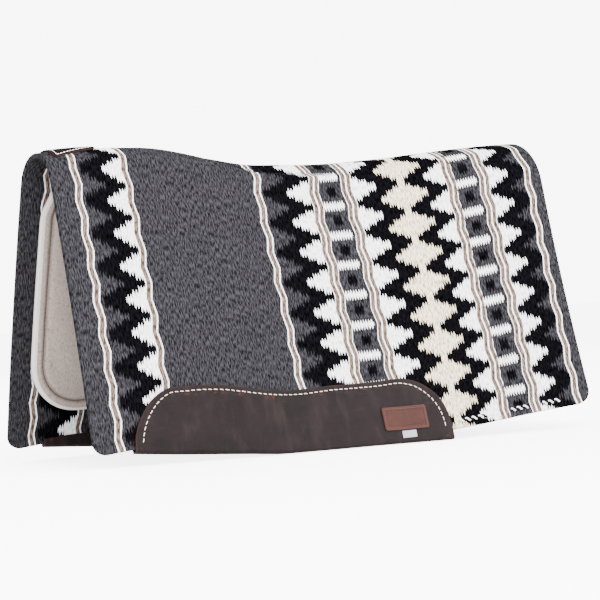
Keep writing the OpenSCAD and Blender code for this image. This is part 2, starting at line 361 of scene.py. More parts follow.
def round_edges(obj: bpy.types.Object, width: float, segments: int, keep: Callable[[Vector], bool]) -> None:
    """Bevel the sharp edges of a mesh.

    Args:
        obj: The piece.
        width: Width of the bevel.
        segments: Faces across it.
        keep: True at a place whose edges stay sharp.
    """
    activate(obj)
    bpy.ops.object.mode_set(mode="EDIT")
    bpy.ops.mesh.select_mode(type="EDGE")
    bpy.ops.mesh.select_all(action="DESELECT")
    bm = bmesh.from_edit_mesh(obj.data)
    for edge in bm.edges:
        sharp = edge.is_manifold and edge.calc_face_angle(0.0) > math.radians(50)
        if sharp and not all(keep(v.co) for v in edge.verts):
            edge.select = True
    bm.select_flush_mode()
    bmesh.update_edit_mesh(obj.data)
    bpy.ops.mesh.bevel(offset=width, offset_type="OFFSET", segments=segments, profile=0.5,
                       affect="EDGES", clamp_overlap=True)
    bpy.ops.object.mode_set(mode="OBJECT")


def smooth(obj: bpy.types.Object, degrees: float = 40.0) -> None:
    """Shade smooth, apart from edges sharper than this."""
    activate(obj)
    bpy.ops.object.shade_smooth_by_angle(angle=math.radians(degrees))


def never(_: Vector) -> bool:
    """No edge is kept sharp."""
    return False


def on_spine(co: Vector) -> bool:
    """True for a point on the middle plane, where the two halves meet."""
    return abs(co.y) < 0.0015


def dress(obj: bpy.types.Object, material: bpy.types.Material) -> None:
    """Give a piece its material."""
    obj.data.materials.clear()
    obj.data.materials.append(material)


def swell(obj: bpy.types.Object, pinned: Values, pressure: float, cap: float, frames: int = 14) -> None:
    """Let cloth pressure puff up a closed padded mesh.

    Args:
        obj: The piece.
        pinned: Indices of the points that are sewn down.
        pressure: Pressure inside.
        cap: Furthest that a point may move.
        frames: Length of the simulation.
    """
    before = get_points(obj.data)
    group = obj.vertex_groups.new(name="Sewn")
    group.add([int(i) for i in pinned], 1.0, "REPLACE")
    activate(obj)
    cloth = obj.modifiers.new("Swell", "CLOTH")
    cloth.settings.quality = 4
    cloth.settings.mass = 0.3
    cloth.settings.tension_stiffness = cloth.settings.compression_stiffness = 10.0
    cloth.settings.shear_stiffness = 5.0
    cloth.settings.bending_stiffness = 0.5
    cloth.settings.use_pressure = True
    cloth.settings.uniform_pressure_force = pressure
    cloth.settings.effector_weights.gravity = 0.0
    cloth.settings.vertex_group_mass = "Sewn"
    cloth.collision_settings.use_collision = False
    cloth.point_cache.frame_start, cloth.point_cache.frame_end = 1, frames
    scene = bpy.context.scene
    for frame in range(1, frames + 1):
        scene.frame_set(frame)
    puffed = obj.evaluated_get(bpy.context.evaluated_depsgraph_get())
    after = get_points(puffed.to_mesh())
    puffed.to_mesh_clear()
    obj.modifiers.remove(cloth)
    scene.frame_set(1)
    obj.vertex_groups.remove(group)
    move = after - before
    reach = np.linalg.norm(move, axis=1, keepdims=True)
    set_points(obj.data, before + move * np.minimum(1.0, cap / np.maximum(reach, 1e-9)))
    LOG.info("%s swelled by up to %.1f mm", obj.name, 1000 * min(cap, float(reach.max())))


def resample(path: Values, pitch: float) -> tuple[Values, Values]:
    """Even places along a flat path.

    Args:
        path: Corners of the path, one (u, v) per row.
        pitch: Distance between places.

    Returns:
        The places, and the path's direction at each.
    """
    steps = np.linalg.norm(np.diff(path, axis=0), axis=1)
    run = np.concatenate([[0.0], np.cumsum(steps)])
    count = max(int(run[-1] / pitch), 1)
    at = (np.arange(count) + 0.5) * run[-1] / count
    centre = np.stack([np.interp(at, run, path[:, k]) for k in (0, 1)], axis=1)
    ahead = np.stack([np.interp(at + 1e-4, run, path[:, k]) for k in (0, 1)], axis=1)
    back = np.stack([np.interp(at - 1e-4, run, path[:, k]) for k in (0, 1)], axis=1)
    way = ahead - back
    return centre, way / np.linalg.norm(way, axis=1, keepdims=True)


# ---------------------------------------------------------------------------------------------
# Shader tools
# ---------------------------------------------------------------------------------------------

Socket = bpy.types.NodeSocket
Input = Socket | float | Sequence[float]


class Graph:
    """A short way to place and wire the nodes of one tree."""

    def __init__(self, tree: bpy.types.NodeTree) -> None:
        """Start on a tree."""
        self.tree = tree
        self.count = 0

    def node(self, kind: str, **settings: Any) -> bpy.types.Node:
        """Add a node of this kind with these settings."""
        node = self.tree.nodes.new(kind)
        node.location = (180 * (self.count % 12), -180 * (self.count // 12))
        self.count += 1
        for key, value in settings.items():
            setattr(node, key, value)
        return node

    def put(self, socket: Socket, value: Input) -> None:
        """Link a socket, or set its own value."""
        if isinstance(value, bpy.types.NodeSocket):
            self.tree.links.new(value, socket)
        elif isinstance(value, (int, float)):
            socket.default_value = value
        else:
            size = len(socket.default_value)
            socket.default_value = (tuple(value) + (1.0,) * size)[:size]

    def math(self, operation: str, *values: Input, clamp: bool = False) -> Socket:
        """A Math node."""
        node = self.node("ShaderNodeMath", operation=operation, use_clamp=clamp)
        for socket, value in zip(node.inputs, values):
            self.put(socket, value)
        return node.outputs[0]

    def within(self, value: Input, centre: float, half: float) -> Socket:
        """1 where value is within half of centre."""
        return self.math("COMPARE", value, centre, half)

    def mix(self, factor: Input, below: Input, above: Input, blend: str = "MIX") -> Socket:
        """A colour mix."""
        node = self.node("ShaderNodeMix", data_type="RGBA", blend_type=blend)
        self.put(node.inputs[0], factor)
        self.put(node.inputs[6], below)
        self.put(node.inputs[7], above)
        return node.outputs[2]

    def ramp(self, factor: Input, stops: Sequence[tuple[float, Colour | float]],
             smooth_stops: bool = True) -> bpy.types.Node:
        """A Color Ramp node, with blended or with hard stops; its first output is the colour."""
        node = self.node("ShaderNodeValToRGB")
        node.color_ramp.interpolation = "LINEAR" if smooth_stops else "CONSTANT"
        elements = node.color_ramp.elements
        for index, (place, colour) in enumerate(stops):
            element = elements[index] if index < 2 else elements.new(place)
            element.position = place
            rgb = (colour,) * 3 if isinstance(colour, (int, float)) else colour
            element.color = (tuple(rgb) + (1.0,))[:4]
        self.put(node.inputs[0], factor)
        return node

    def noise(self, vector: Input, scale: float, detail: float = 2.0, rough: float = 0.5) -> Socket:
        """Noise from 0 to 1."""
        node = self.node("ShaderNodeTexNoise")
        self.put(node.inputs["Vector"], vector)
        node.inputs["Scale"].default_value = scale
        node.inputs["Detail"].default_value = detail
        node.inputs["Roughness"].default_value = rough
        return node.outputs[0]

    def scaled(self, vector: Input, scale: Sequence[float]) -> Socket:
        """A vector with each axis scaled."""
        node = self.node("ShaderNodeMapping")
        self.put(node.inputs["Vector"], vector)
        node.inputs["Scale"].default_value = tuple(scale)
        return node.outputs[0]

    def flat(self) -> Socket:
        """The piece's flat map, in metres."""
        return self.node("ShaderNodeUVMap", uv_map=FLAT_MAP).outputs[0]

    def split(self, vector: Socket) -> tuple[Socket, Socket]:
        """The first two axes of a vector."""
        node = self.node("ShaderNodeSeparateXYZ")
        self.put(node.inputs[0], vector)
        return node.outputs[0], node.outputs[1]

    def objectwise(self) -> Socket:
        """Object coordinates."""
        return self.node("ShaderNodeTexCoord").outputs["Object"]

    def bump(self, height: Input, distance: float, strength: float = 1.0,
             normal: Input | None = None) -> Socket:
        """A Bump node's normal."""
        node = self.node("ShaderNodeBump")
        node.inputs["Strength"].default_value = strength
        node.inputs["Distance"].default_value = distance
        self.put(node.inputs["Height"], height)
        if normal is not None:
            self.put(node.inputs["Normal"], normal)
        return node.outputs[0]

    def use(self, group: bpy.types.NodeTree, **inputs: Input) -> bpy.types.Node:
        """Place a node group; an underscore in an input's name stands for a space."""
        node = self.node("ShaderNodeGroup", node_tree=group)
        for key, value in inputs.items():
            self.put(node.inputs[key.replace("_", " ")], value)
        return node


def node_group(name: str, inputs: dict[str, str],
               outputs: dict[str, str]) -> tuple[Graph, bpy.types.Node, bpy.types.Node]:
    """Start a shader node group.

    Args:
        name: Name of the group.
        inputs: Socket type by input name.
        outputs: Socket type by output name.

    Returns:
        A graph on the group, its input node and its output node.
    """
    tree = bpy.data.node_groups.new(name, "ShaderNodeTree")
    for key, kind in inputs.items():
        tree.interface.new_socket(name=key, in_out="INPUT", socket_type=f"NodeSocket{kind}")
    for key, kind in outputs.items():
        tree.interface.new_socket(name=key, in_out="OUTPUT", socket_type=f"NodeSocket{kind}")
    graph = Graph(tree)
    return graph, graph.node("NodeGroupInput"), graph.node("NodeGroupOutput")


def new_material(name: str, **constants: Any) -> tuple[bpy.types.Material, Graph, bpy.types.Node]:
    """A material with one Principled shader.

    Args:
        name: Name of the material.
        constants: Values of the shader's own sockets; an underscore stands for a space.

    Returns:
        The material, a graph on its tree, and the shader node.
    """
    material = bpy.data.materials.new(name)
    material.use_nodes = True
    graph = Graph(material.node_tree)
    shader = next(n for n in material.node_tree.nodes if n.type == "BSDF_PRINCIPLED")
    for key, value in constants.items():
        graph.put(shader.inputs[key.replace("_", " ")], value)
    return material, graph, shader


class Groups:
    """The node groups that the finishes share, each built once."""

    def __init__(self) -> None:
        """Build them all."""
        self.fleck = self._fleck()
        self.tooth = self._tooth()
        self.single = self._braid("Single braid", 5.9, ((-5.9, 1), (-3.5, 2), (3.5, 1)))
        self.double = self._braid("Double braid", 9.3, ((-9.3, 1), (-7.9, 2), (-1.4, 1), (1.4, 2), (7.9, 1)))
        self.ladder = self._ladder()
        self.ribs = self._ribs()
        self.grain = self._grain()

    @staticmethod
    def _fleck() -> bpy.types.NodeTree:
        """Yarn flecks: long, thin spots that run along the second flat axis, and soft blotches of dye."""
        g, i, o = node_group("Yarn fleck", {"Flat": "Vector", "Depth": "Float"}, {"Value": "Float"})
        long = g.noise(g.scaled(i.outputs["Flat"], (520.0, 125.0, 1.0)), 1.0, 1.0, 0.55)
        soft = g.noise(g.scaled(i.outputs["Flat"], (30.0, 22.0, 1.0)), 1.0, 2.0)
        spread = g.math("MULTIPLY", g.math("SUBTRACT", long, 0.5), 5.2)
        spread = g.math("ADD", spread, g.math("MULTIPLY", g.math("SUBTRACT", soft, 0.5), 0.35))
        g.put(o.inputs["Value"], g.math("ADD", g.math("MULTIPLY", spread, i.outputs["Depth"]), 1.0))
        return g.tree

    @staticmethod
    def _tooth() -> bpy.types.NodeTree:
        """A three-step tooth that stands on a base line and points along the pad."""
        sizes = {k: "Float" for k in ("Along", "Row", "Base", "Way", "Half", "Run")}
        g, i, o = node_group("Stepped tooth", sizes, {"Mask": "Float"})
        reach = g.math("SUBTRACT", i.outputs["Along"], i.outputs["Base"])
        reach = g.math("MULTIPLY", reach, i.outputs["Way"])
        step = g.math("FLOOR", g.math("DIVIDE", reach, i.outputs["Run"]))
        inside = g.within(step, 1.0, 1.5)
        half = g.math("SUBTRACT", i.outputs["Half"], g.math("MULTIPLY", step, TOOTH_STEP))
        g.put(o.inputs["Mask"], g.math("MULTIPLY", inside, g.math("LESS_THAN", i.outputs["Row"], half)))
        return g.tree

    @staticmethod
    def _braid(name: str, half: float, lines: Sequence[tuple[float, int]]) -> bpy.types.NodeTree:
        """A braid of thin white and taupe lines: its mask, and where it is taupe."""
        sizes = {k: "Float" for k in ("Along", "Centre", "Wave")}
        g, i, o = node_group(name, sizes, {"Mask": "Float", "Taupe": "Float"})
        place = g.math("ADD", i.outputs["Along"], g.math("MULTIPLY", i.outputs["Wave"], 2.4))
        place = g.math("SUBTRACT", place, i.outputs["Centre"])
        g.put(o.inputs["Mask"], g.within(place, 0.0, half))
        stops = [((at + half) / (2 * half), 1.0 if kind == 2 else 0.0) for at, kind in lines]
        ramp = g.ramp(g.math("DIVIDE", g.math("ADD", place, half), 2 * half), stops, smooth_stops=False)
        g.put(o.inputs["Taupe"], ramp.outputs[0])
        return g.tree

    @staticmethod
    def _ladder() -> bpy.types.NodeTree:
        """A ladder of squares with dark eyes, and white bars between them."""
        sizes = {k: "Float" for k in ("Along", "Row", "Centre", "Half")}
        g, i, o = node_group("Ladder", sizes, {k: "Float" for k in ("Square", "Eye", "Bar")})
        away = g.math("ABSOLUTE", g.math("SUBTRACT", i.outputs["Along"], i.outputs["Centre"]))
        across = g.math("LESS_THAN", away, i.outputs["Half"])
        tall = g.math("LESS_THAN", i.outputs["Row"], SQUARE_HALF)
        g.put(o.inputs["Square"], g.math("MULTIPLY", across, tall))
        g.put(o.inputs["Bar"], g.math("MULTIPLY", across, g.math("SUBTRACT", 1.0, tall)))
        eye = g.math("LESS_THAN", g.math("MAXIMUM", away, i.outputs["Row"]), EYE_HALF)
        g.put(o.inputs["Eye"], eye)
        return g.tree

    @staticmethod
    def _ribs() -> bpy.types.NodeTree:
        """Height of a weave whose weft runs down the drop and beats over the warp."""
        g, i, o = node_group("Weft ribs", {"Flat": "Vector", "Pitch": "Float"}, {"Height": "Float"})
        u, v = g.split(i.outputs["Flat"])
        pick = g.math("DIVIDE", u, i.outputs["Pitch"])
        rib = g.math("ABSOLUTE", g.math("SINE", g.math("MULTIPLY", pick, math.pi)))
        odd = g.math("MULTIPLY", g.math("FLOOR", pick), math.pi)
        along = g.math("DIVIDE", v, g.math("MULTIPLY", i.outputs["Pitch"], 0.64))
        beat = g.math("SINE", g.math("ADD", along, odd))
        beat = g.math("MULTIPLY_ADD", beat, 0.28, 0.72)
        fuzz = g.noise(g.scaled(i.outputs["Flat"], (900.0, 350.0, 1.0)), 1.0, 3.0, 0.7)
        g.put(o.inputs["Height"], g.math("MULTIPLY_ADD", fuzz, 0.55, g.math("MULTIPLY", rib, beat)))
        return g.tree

    @staticmethod
    def _grain() -> bpy.types.NodeTree:
        """Leather grain: pebbled cells with creases between them, and pores."""
        g, i, o = node_group("Leather grain", {"Place": "Vector", "Cell": "Float"},
                             {"Height": "Float", "Blotch": "Float"})
        warp = g.node("ShaderNodeVectorMath", operation="MULTIPLY_ADD")
        noise = g.node("ShaderNodeTexNoise")
        noise.inputs["Scale"].default_value = 60.0
        g.put(noise.inputs["Vector"], i.outputs["Place"])
        g.put(warp.inputs[0], noise.outputs[1])
        warp.inputs[1].default_value = (0.004, 0.004, 0.004)
        g.put(warp.inputs[2], i.outputs["Place"])
        cells = g.node("ShaderNodeTexVoronoi", feature="DISTANCE_TO_EDGE")
        g.put(cells.inputs["Vector"], warp.outputs[0])
        g.put(cells.inputs["Scale"], i.outputs["Cell"])
        crease = g.math("POWER", g.math("MULTIPLY", cells.outputs[0], 3.0, clamp=True), 0.6)
        fine = g.noise(i.outputs["Place"], 1400.0, 2.0)
        g.put(o.inputs["Height"], g.math("MULTIPLY_ADD", fine, 0.35, crease))
        g.put(o.inputs["Blotch"], g.noise(g.scaled(i.outputs["Place"], (1.0, 1.0, 1.7)), 17.0, 4.0, 0.6))
        return g.tree


# ---------------------------------------------------------------------------------------------
# Finishes
# ---------------------------------------------------------------------------------------------


@dataclass(frozen=True)
class WovenWool:
    """The blanket's weave: charcoal fields, toothed bands, braids, ladders and a column of diamonds.

    Lengths are in millimetres. Bands, braids, ladders and teeth are placed along the pad from its front
    edge; the period and the first row run down the drop from the spine. A row of teeth is its base line,
    the way it points, the half width of its first step, its phase down the drop and the run of a step.
    """

    groups: Groups
    charcoal: Colour = (0.0205, 0.0197, 0.0224)
    black: Colour = (0.0022, 0.0021, 0.0028)
    white: Colour = (0.92, 0.92, 0.93)
    taupe: Colour = (0.112, 0.079, 0.063)
    cream: Colour = (0.66, 0.57, 0.42)
    period: float = 49.25
    first_row: float = 61.0
    pick: float = 4.8
    dark_bands: tuple[tuple[float, float], ...] = ((50, 119), (362, 443), (523, 694), (771, 843))
    singles: tuple[float, ...] = (41.0, 126.5, 354.4, 842.5)
    doubles: tuple[float, ...] = (454.0, 517.5, 703.5, 763.0)
    ladders: tuple[tuple[float, float], ...] = ((485.0, 20.0), (731.0, 19.0))
    comb: float = 3.3
    fray: float = 2.6
    grey_teeth: tuple[Teeth, ...] = (
        (50, 1, 15.5, 1, 12.6), (363, 1, 17.0, 1, 13.0), (842, -1, 14.5, 0, 11.0))
    white_teeth: tuple[Teeth, ...] = (
        (121, -1, 17.2, 0, 11.2), (444, -1, 17.6, 0, 13.2), (524.5, 1, 17.6, 0, 14.6),
        (695, -1, 17.6, 0, 12.2), (771, 1, 16.4, 1, 12.6))
    cream_teeth: tuple[Teeth, ...] = ((610.5, -1, 17.2, 1, 12.6), (619, 1, 17.2, 1, 13.0))

    def make(self) -> bpy.types.Material:
        """Build the material."""
        material, g, shader = new_material("woven_wool", Roughness=0.95, Specular_IOR_Level=0.0)
        flat = g.flat()
        u0, v0 = g.split(flat)
        wander = g.math("SUBTRACT", g.noise(g.scaled(flat, (60.0, 45.0, 1.0)), 1.0, 2.0), 0.5)
        u = g.math("MULTIPLY_ADD", u0, 1000.0, g.math("MULTIPLY", wander, 2.2))
        v = g.math("MULTIPLY_ADD", v0, 1000.0, g.math("MULTIPLY", wander, 3.0))
        turn = g.math("ADD", v, self.period * 2.5 - self.first_row)
        turn = g.math("FRACT", g.math("DIVIDE", turn, self.period))
        away = g.math("ABSOLUTE", g.math("SUBTRACT", turn, 0.5))
        comb = g.math("SUBTRACT", g.math("PINGPONG", u, self.pick / 2), self.pick / 4)
        comb = g.math("MULTIPLY", comb, self.comb)
        fray = g.math("SUBTRACT", g.noise(g.scaled(flat, (800.0, 200.0, 1.0)), 1.0, 1.0), 0.5)
        comb = g.math("ADD", comb, g.math("MULTIPLY", fray, self.fray))
        row = g.math("MULTIPLY", away, self.period)
        rows = (g.math("ADD", row, comb), g.math("ADD", g.math("SUBTRACT", self.period / 2, row), comb))
        wave = g.math("MULTIPLY_ADD", away, -4.0, 1.0)
        dark = g.ramp(g.math("DIVIDE", u, 1000.0), self._dark_stops(), smooth_stops=False).outputs[0]
        colour = g.mix(dark, self.charcoal, self.black)
        toothed = ((self.grey_teeth, self.charcoal), (self.white_teeth, self.white),
                   (self.cream_teeth, self.cream))
        for teeth, yarn in toothed:
            for base, way, half, phase, run in teeth:
                tooth = g.use(self.groups.tooth, Along=u, Row=rows[phase], Base=base, Way=way,
                              Half=half, Run=run)
                colour = g.mix(tooth.outputs[0], colour, yarn)
        colour = g.mix(g.within(u, 614.7, 6.2), colour, self.cream)
        for group, centres in ((self.groups.single, self.singles), (self.groups.double, self.doubles)):
            for centre in centres:
                braid = g.use(group, Along=u, Centre=centre, Wave=wave)
                line = g.mix(braid.outputs["Taupe"], self.white, self.taupe)
                colour = g.mix(braid.outputs["Mask"], colour, line)
        for centre, half in self.ladders:
            ladder = g.use(self.groups.ladder, Along=u, Row=rows[0], Centre=centre, Half=half)
            colour = g.mix(ladder.outputs["Bar"], colour, self.white)
            colour = g.mix(ladder.outputs["Square"], colour, self.charcoal)
            colour = g.mix(ladder.outputs["Eye"], colour, self.black)
        fleck = g.use(self.groups.fleck, Flat=flat, Depth=1.05).outputs[0]
        bright = g.node("ShaderNodeRGBToBW")
        g.put(bright.inputs[0], colour)
        shade = g.math("MINIMUM", fleck, g.math("MULTIPLY_ADD", bright.outputs[0], -0.88, 1.88))
        deep = g.math("MAXIMUM", shade, 0.28)
        grey = g.node("ShaderNodeCombineColor")
        for socket in grey.inputs:
            g.put(socket, deep)
        amount = g.math("SUBTRACT", 1.0, g.math("MULTIPLY", bright.outputs[0], 0.50), clamp=True)
        colour = g.mix(amount, colour, g.mix(1.0, colour, grey.outputs[0], "MULTIPLY"))
        ribs = g.use(self.groups.ribs, Flat=flat, Pitch=0.0024).outputs[0]
        # The base colour carries painted shade between the ribs.
        g.put(shader.inputs["Base Color"], self._shaded(g, colour, ribs))
        g.put(shader.inputs["Normal"], g.bump(ribs, 0.0011, 0.9))
        return material

    @staticmethod
    def _shaded(g: Graph, colour: Socket, ribs: Socket) -> Socket:
        """Paint shade between the ribs: darken the colour a little where the rib height is low."""
        low = g.math("MULTIPLY_ADD", ribs, 0.42, 0.62, clamp=True)
        grey = g.node("ShaderNodeCombineColor")
        for socket in grey.inputs:
            g.put(socket, low)
        return g.mix(1.0, colour, grey.outputs[0], "MULTIPLY")

    def _dark_stops(self) -> list[tuple[float, float]]:
        """Stops of the ramp that is 1 in the black bands."""
        stops: list[tuple[float, float]] = [(0.0, 0.0)]
        for start, end in self.dark_bands:
            stops += [(start / 1000, 1.0), (end / 1000, 0.0)]
        return stops


@dataclass(frozen=True)
class Felt:
    """Pressed wool felt with dark and pale fibres, paler where it is cut, with painted shade along its sewn
    border groove.
    """

    name: str = "wool_felt"
    base: Colour = (0.305, 0.252, 0.222)
    dark: Colour = (0.098, 0.074, 0.064)
    pale: Colour = (0.41, 0.37, 0.345)
    cut: Colour = (0.66, 0.62, 0.59)

    def make(self) -> bpy.types.Material:
        """Build the material."""
        material, g, shader = new_material(self.name, Roughness=0.97, Specular_IOR_Level=0.05)
        place = g.objectwise()
        fibres = g.noise(g.scaled(place, (1.0, 1.0, 0.55)), 420.0, 3.0, 0.75)
        ramp = g.ramp(fibres, ((0.30, self.dark), (0.45, self.base), (0.57, self.base), (0.68, self.pale)))
        hairs = g.noise(g.scaled(place, (1.0, 1.0, 0.3)), 170.0, 4.0, 0.8)
        spots = g.ramp(hairs, ((0.60, 0.0), (0.70, 1.0))).outputs[0]
        colour = g.mix(g.math("MULTIPLY", spots, 0.75), ramp.outputs[0], self.dark)
        cloud = g.noise(place, 9.0, 3.0)
        colour = g.mix(g.math("MULTIPLY", cloud, 0.25), colour, self.pale)
        edge = g.node("ShaderNodeAttribute", attribute_name=EDGE).outputs["Fac"]
        colour = g.mix(g.math("MULTIPLY", g.math("LESS_THAN", edge, 0.0055), 0.85), colour, self.cut)
        # Painted shade: the colour darkens toward the dark fibre colour along the pressed border groove.
        groove = g.math("DIVIDE", g.math("ABSOLUTE", g.math("SUBTRACT", edge, 0.017)), 0.0052)
        groove = g.math("SUBTRACT", 1.0, groove, clamp=True)
        colour = g.mix(g.math("MULTIPLY", groove, 0.9), colour, self.dark)
        g.put(shader.inputs["Base Color"], colour)
        rough = g.noise(place, 900.0, 4.0, 0.8)
        g.put(shader.inputs["Normal"], g.bump(g.math("ADD", rough, hairs), 0.0012, 0.9))
        return material


@dataclass(frozen=True)
class OiledLeather:
    """Oiled full-grain leather with pull-up blotches, worn edges and a fine grain."""

    groups: Groups
    name: str = "wear_leather"
    deep: Colour = (0.0030, 0.0017, 0.0020)
    warm: Colour = (0.0092, 0.0054, 0.0058)
    edge: Colour = (0.032, 0.0125, 0.0092)
    cell: float = 900.0
    gloss: float = 0.07
    pull: Colour = (0.0195, 0.0118, 0.0116)
    scuff: Colour = (0.075, 0.0190, 0.0115)

    def make(self) -> bpy.types.Material:
        """Build the material."""
        material, g, shader = new_material(self.name, Specular_IOR_Level=self.gloss)
        place = g.objectwise()
        grain = g.use(self.groups.grain, Place=place, Cell=self.cell)
        tone = g.ramp(grain.outputs["Blotch"], ((0.28, self.deep), (0.72, self.warm)))
        scuffs = g.noise(g.scaled(place, (22.0, 22.0, 150.0)), 1.0, 4.0, 0.7)
        marks = g.ramp(scuffs, ((0.62, 0.0), (0.74, 1.0))).outputs[0]
        colour = g.mix(g.math("MULTIPLY", marks, 0.30), tone.outputs[0], self.edge)
        streaks = g.noise(g.scaled(place, (52.0, 52.0, 11.0)), 1.0, 3.0, 0.6)
        pulled = g.ramp(streaks, ((0.50, 0.0), (0.72, 1.0))).outputs[0]
        colour = g.mix(g.math("MULTIPLY", pulled, 0.45), colour, self.pull)
        near = g.node("ShaderNodeAttribute", attribute_name=EDGE).outputs["Fac"]
        ring = g.math("DIVIDE", g.math("ABSOLUTE", g.math("SUBTRACT", near, 0.011)), 0.006)
        ring = g.math("SUBTRACT", 1.0, ring, clamp=True)
        burn = g.noise(g.scaled(place, (60.0, 60.0, 60.0)), 1.0, 3.0, 0.7)
        burn = g.ramp(burn, ((0.57, 0.0), (0.70, 1.0))).outputs[0]
        colour = g.mix(g.math("MULTIPLY", g.math("MULTIPLY", ring, burn), 0.6), colour, self.scuff)
        rub = g.ramp(g.math("MULTIPLY", near, 100.0), ((0.0, 1.0), (0.10, 0.50), (0.26, 0.0))).outputs[0]
        colour = g.mix(g.math("MULTIPLY", rub, 0.55), colour, self.edge)
        g.put(shader.inputs["Base Color"], colour)
        g.put(shader.inputs["Roughness"], g.math("MULTIPLY_ADD", grain.outputs["Blotch"], 0.30, 0.42))
        soft = g.bump(grain.outputs["Blotch"], 0.0018, 0.25)
        g.put(shader.inputs["Normal"], g.bump(grain.outputs["Height"], 0.00028, 0.6, soft))
        return material


@dataclass(frozen=True)
class Yarn:
    """Plied yarn or waxed thread of one colour, with painted shade where its ply bump is low."""

    name: str
    colour: Colour
    fuzz: float = 0.9
    ply: float = 1100.0

    def make(self) -> bpy.types.Material:
        """Build the material."""
        material, g, shader = new_material(self.name, Roughness=self.fuzz, Specular_IOR_Level=0.08)
        place = g.objectwise()
        ply = g.noise(g.scaled(place, (1.0, 1.0, 0.35)), self.ply, 3.0, 0.6)
        # Painted shade: the colour falls to 62% where the ply bump is low.
        shade = g.ramp(ply, ((0.30, tuple(c * 0.62 for c in self.colour)), (0.62, self.colour)))
        g.put(shader.inputs["Base Color"], shade.outputs[0])
        g.put(shader.inputs["Normal"], g.bump(ply, 0.0004, 0.7))
        return material


@dataclass(frozen=True)
class Tape:
    """Plain woven tape, with painted shade between its ribs."""

    groups: Groups
    name: str
    colour: Colour
    # The darker colour is painted between the ribs as shade.
    line: Colour

    def make(self) -> bpy.types.Material:
        """Build the material."""
        material, g, shader = new_material(self.name, Roughness=0.85, Specular_IOR_Level=0.1)
        place = g.objectwise()
        ribs = g.use(self.groups.ribs, Flat=place, Pitch=0.0009).outputs[0]
        # Painted shade: the colour falls to the line colour where the rib height is low.
        colour = g.mix(g.math("MULTIPLY", ribs, 0.6, clamp=True), self.line, self.colour)
        g.put(shader.inputs["Base Color"], colour)
        g.put(shader.inputs["Normal"], g.bump(ribs, 0.0003, 0.8))
        return material


@dataclass
class Finishes:
    """Every finish of the pad, made once."""

    wool: bpy.types.Material = field(init=False)
    felt: bpy.types.Material = field(init=False)
    batt: bpy.types.Material = field(init=False)
    leather: bpy.types.Material = field(init=False)
    patch: bpy.types.Material = field(init=False)
    label: bpy.types.Material = field(init=False)
    cream_thread: bpy.types.Material = field(init=False)
    label_thread: bpy.types.Material = field(init=False)
    white_thread: bpy.types.Material = field(init=False)
    felt_thread: bpy.types.Material = field(init=False)
    white_yarn: bpy.types.Material = field(init=False)
    black_yarn: bpy.types.Material = field(init=False)
    grey_yarn: bpy.types.Material = field(init=False)
    seam_tape: bpy.types.Material = field(init=False)
    tag: bpy.types.Material = field(init=False)

    def __post_init__(self) -> None:
        """Build them all."""
        groups = Groups()
        self.wool = WovenWool(groups).make()
        self.felt = Felt().make()
        self.batt = Felt("cushion_core", base=(0.34, 0.33, 0.30), dark=(0.22, 0.21, 0.20),
                         pale=(0.45, 0.44, 0.42), cut=(0.42, 0.41, 0.38)).make()
        self.leather = OiledLeather(groups).make()
        self.patch = OiledLeather(groups, "patch_leather", deep=(0.0030, 0.0030, 0.0042),
                                  warm=(0.0065, 0.0062, 0.0080), edge=(0.042, 0.018, 0.013),
                                  cell=1100.0, gloss=0.0, pull=(0.0085, 0.0085, 0.011)).make()
        self.label = OiledLeather(groups, "label_leather", deep=(0.0275, 0.0098, 0.0076),
                                  warm=(0.041, 0.0152, 0.0118), edge=(0.062, 0.027, 0.021),
                                  cell=1500.0, gloss=0.09, pull=(0.046, 0.0175, 0.0135)).make()
        self.cream_thread = Yarn("stitch_thread", (0.74, 0.64, 0.55), 0.6).make()
        self.label_thread = Yarn("label_thread", (0.105, 0.046, 0.036), 0.6).make()
        self.white_thread = Yarn("patch_thread", (0.86, 0.84, 0.80), 0.6).make()
        self.felt_thread = Yarn("felt_thread", (0.085, 0.060, 0.048), 0.7).make()
        self.white_yarn = Yarn("white_yarn", (0.84, 0.84, 0.85)).make()
        self.black_yarn = Yarn("black_yarn", (0.0026, 0.0026, 0.0034)).make()
        self.grey_yarn = Yarn("grey_yarn", (0.0205, 0.0197, 0.0224)).make()
        self.seam_tape = Tape(groups, "seam_tape", (0.06, 0.06, 0.065), (0.02, 0.02, 0.022)).make()
        self.tag = Tape(groups, "woven_tag", (0.42, 0.43, 0.47), (0.16, 0.165, 0.19)).make()


# ---------------------------------------------------------------------------------------------
# Pieces
# ---------------------------------------------------------------------------------------------


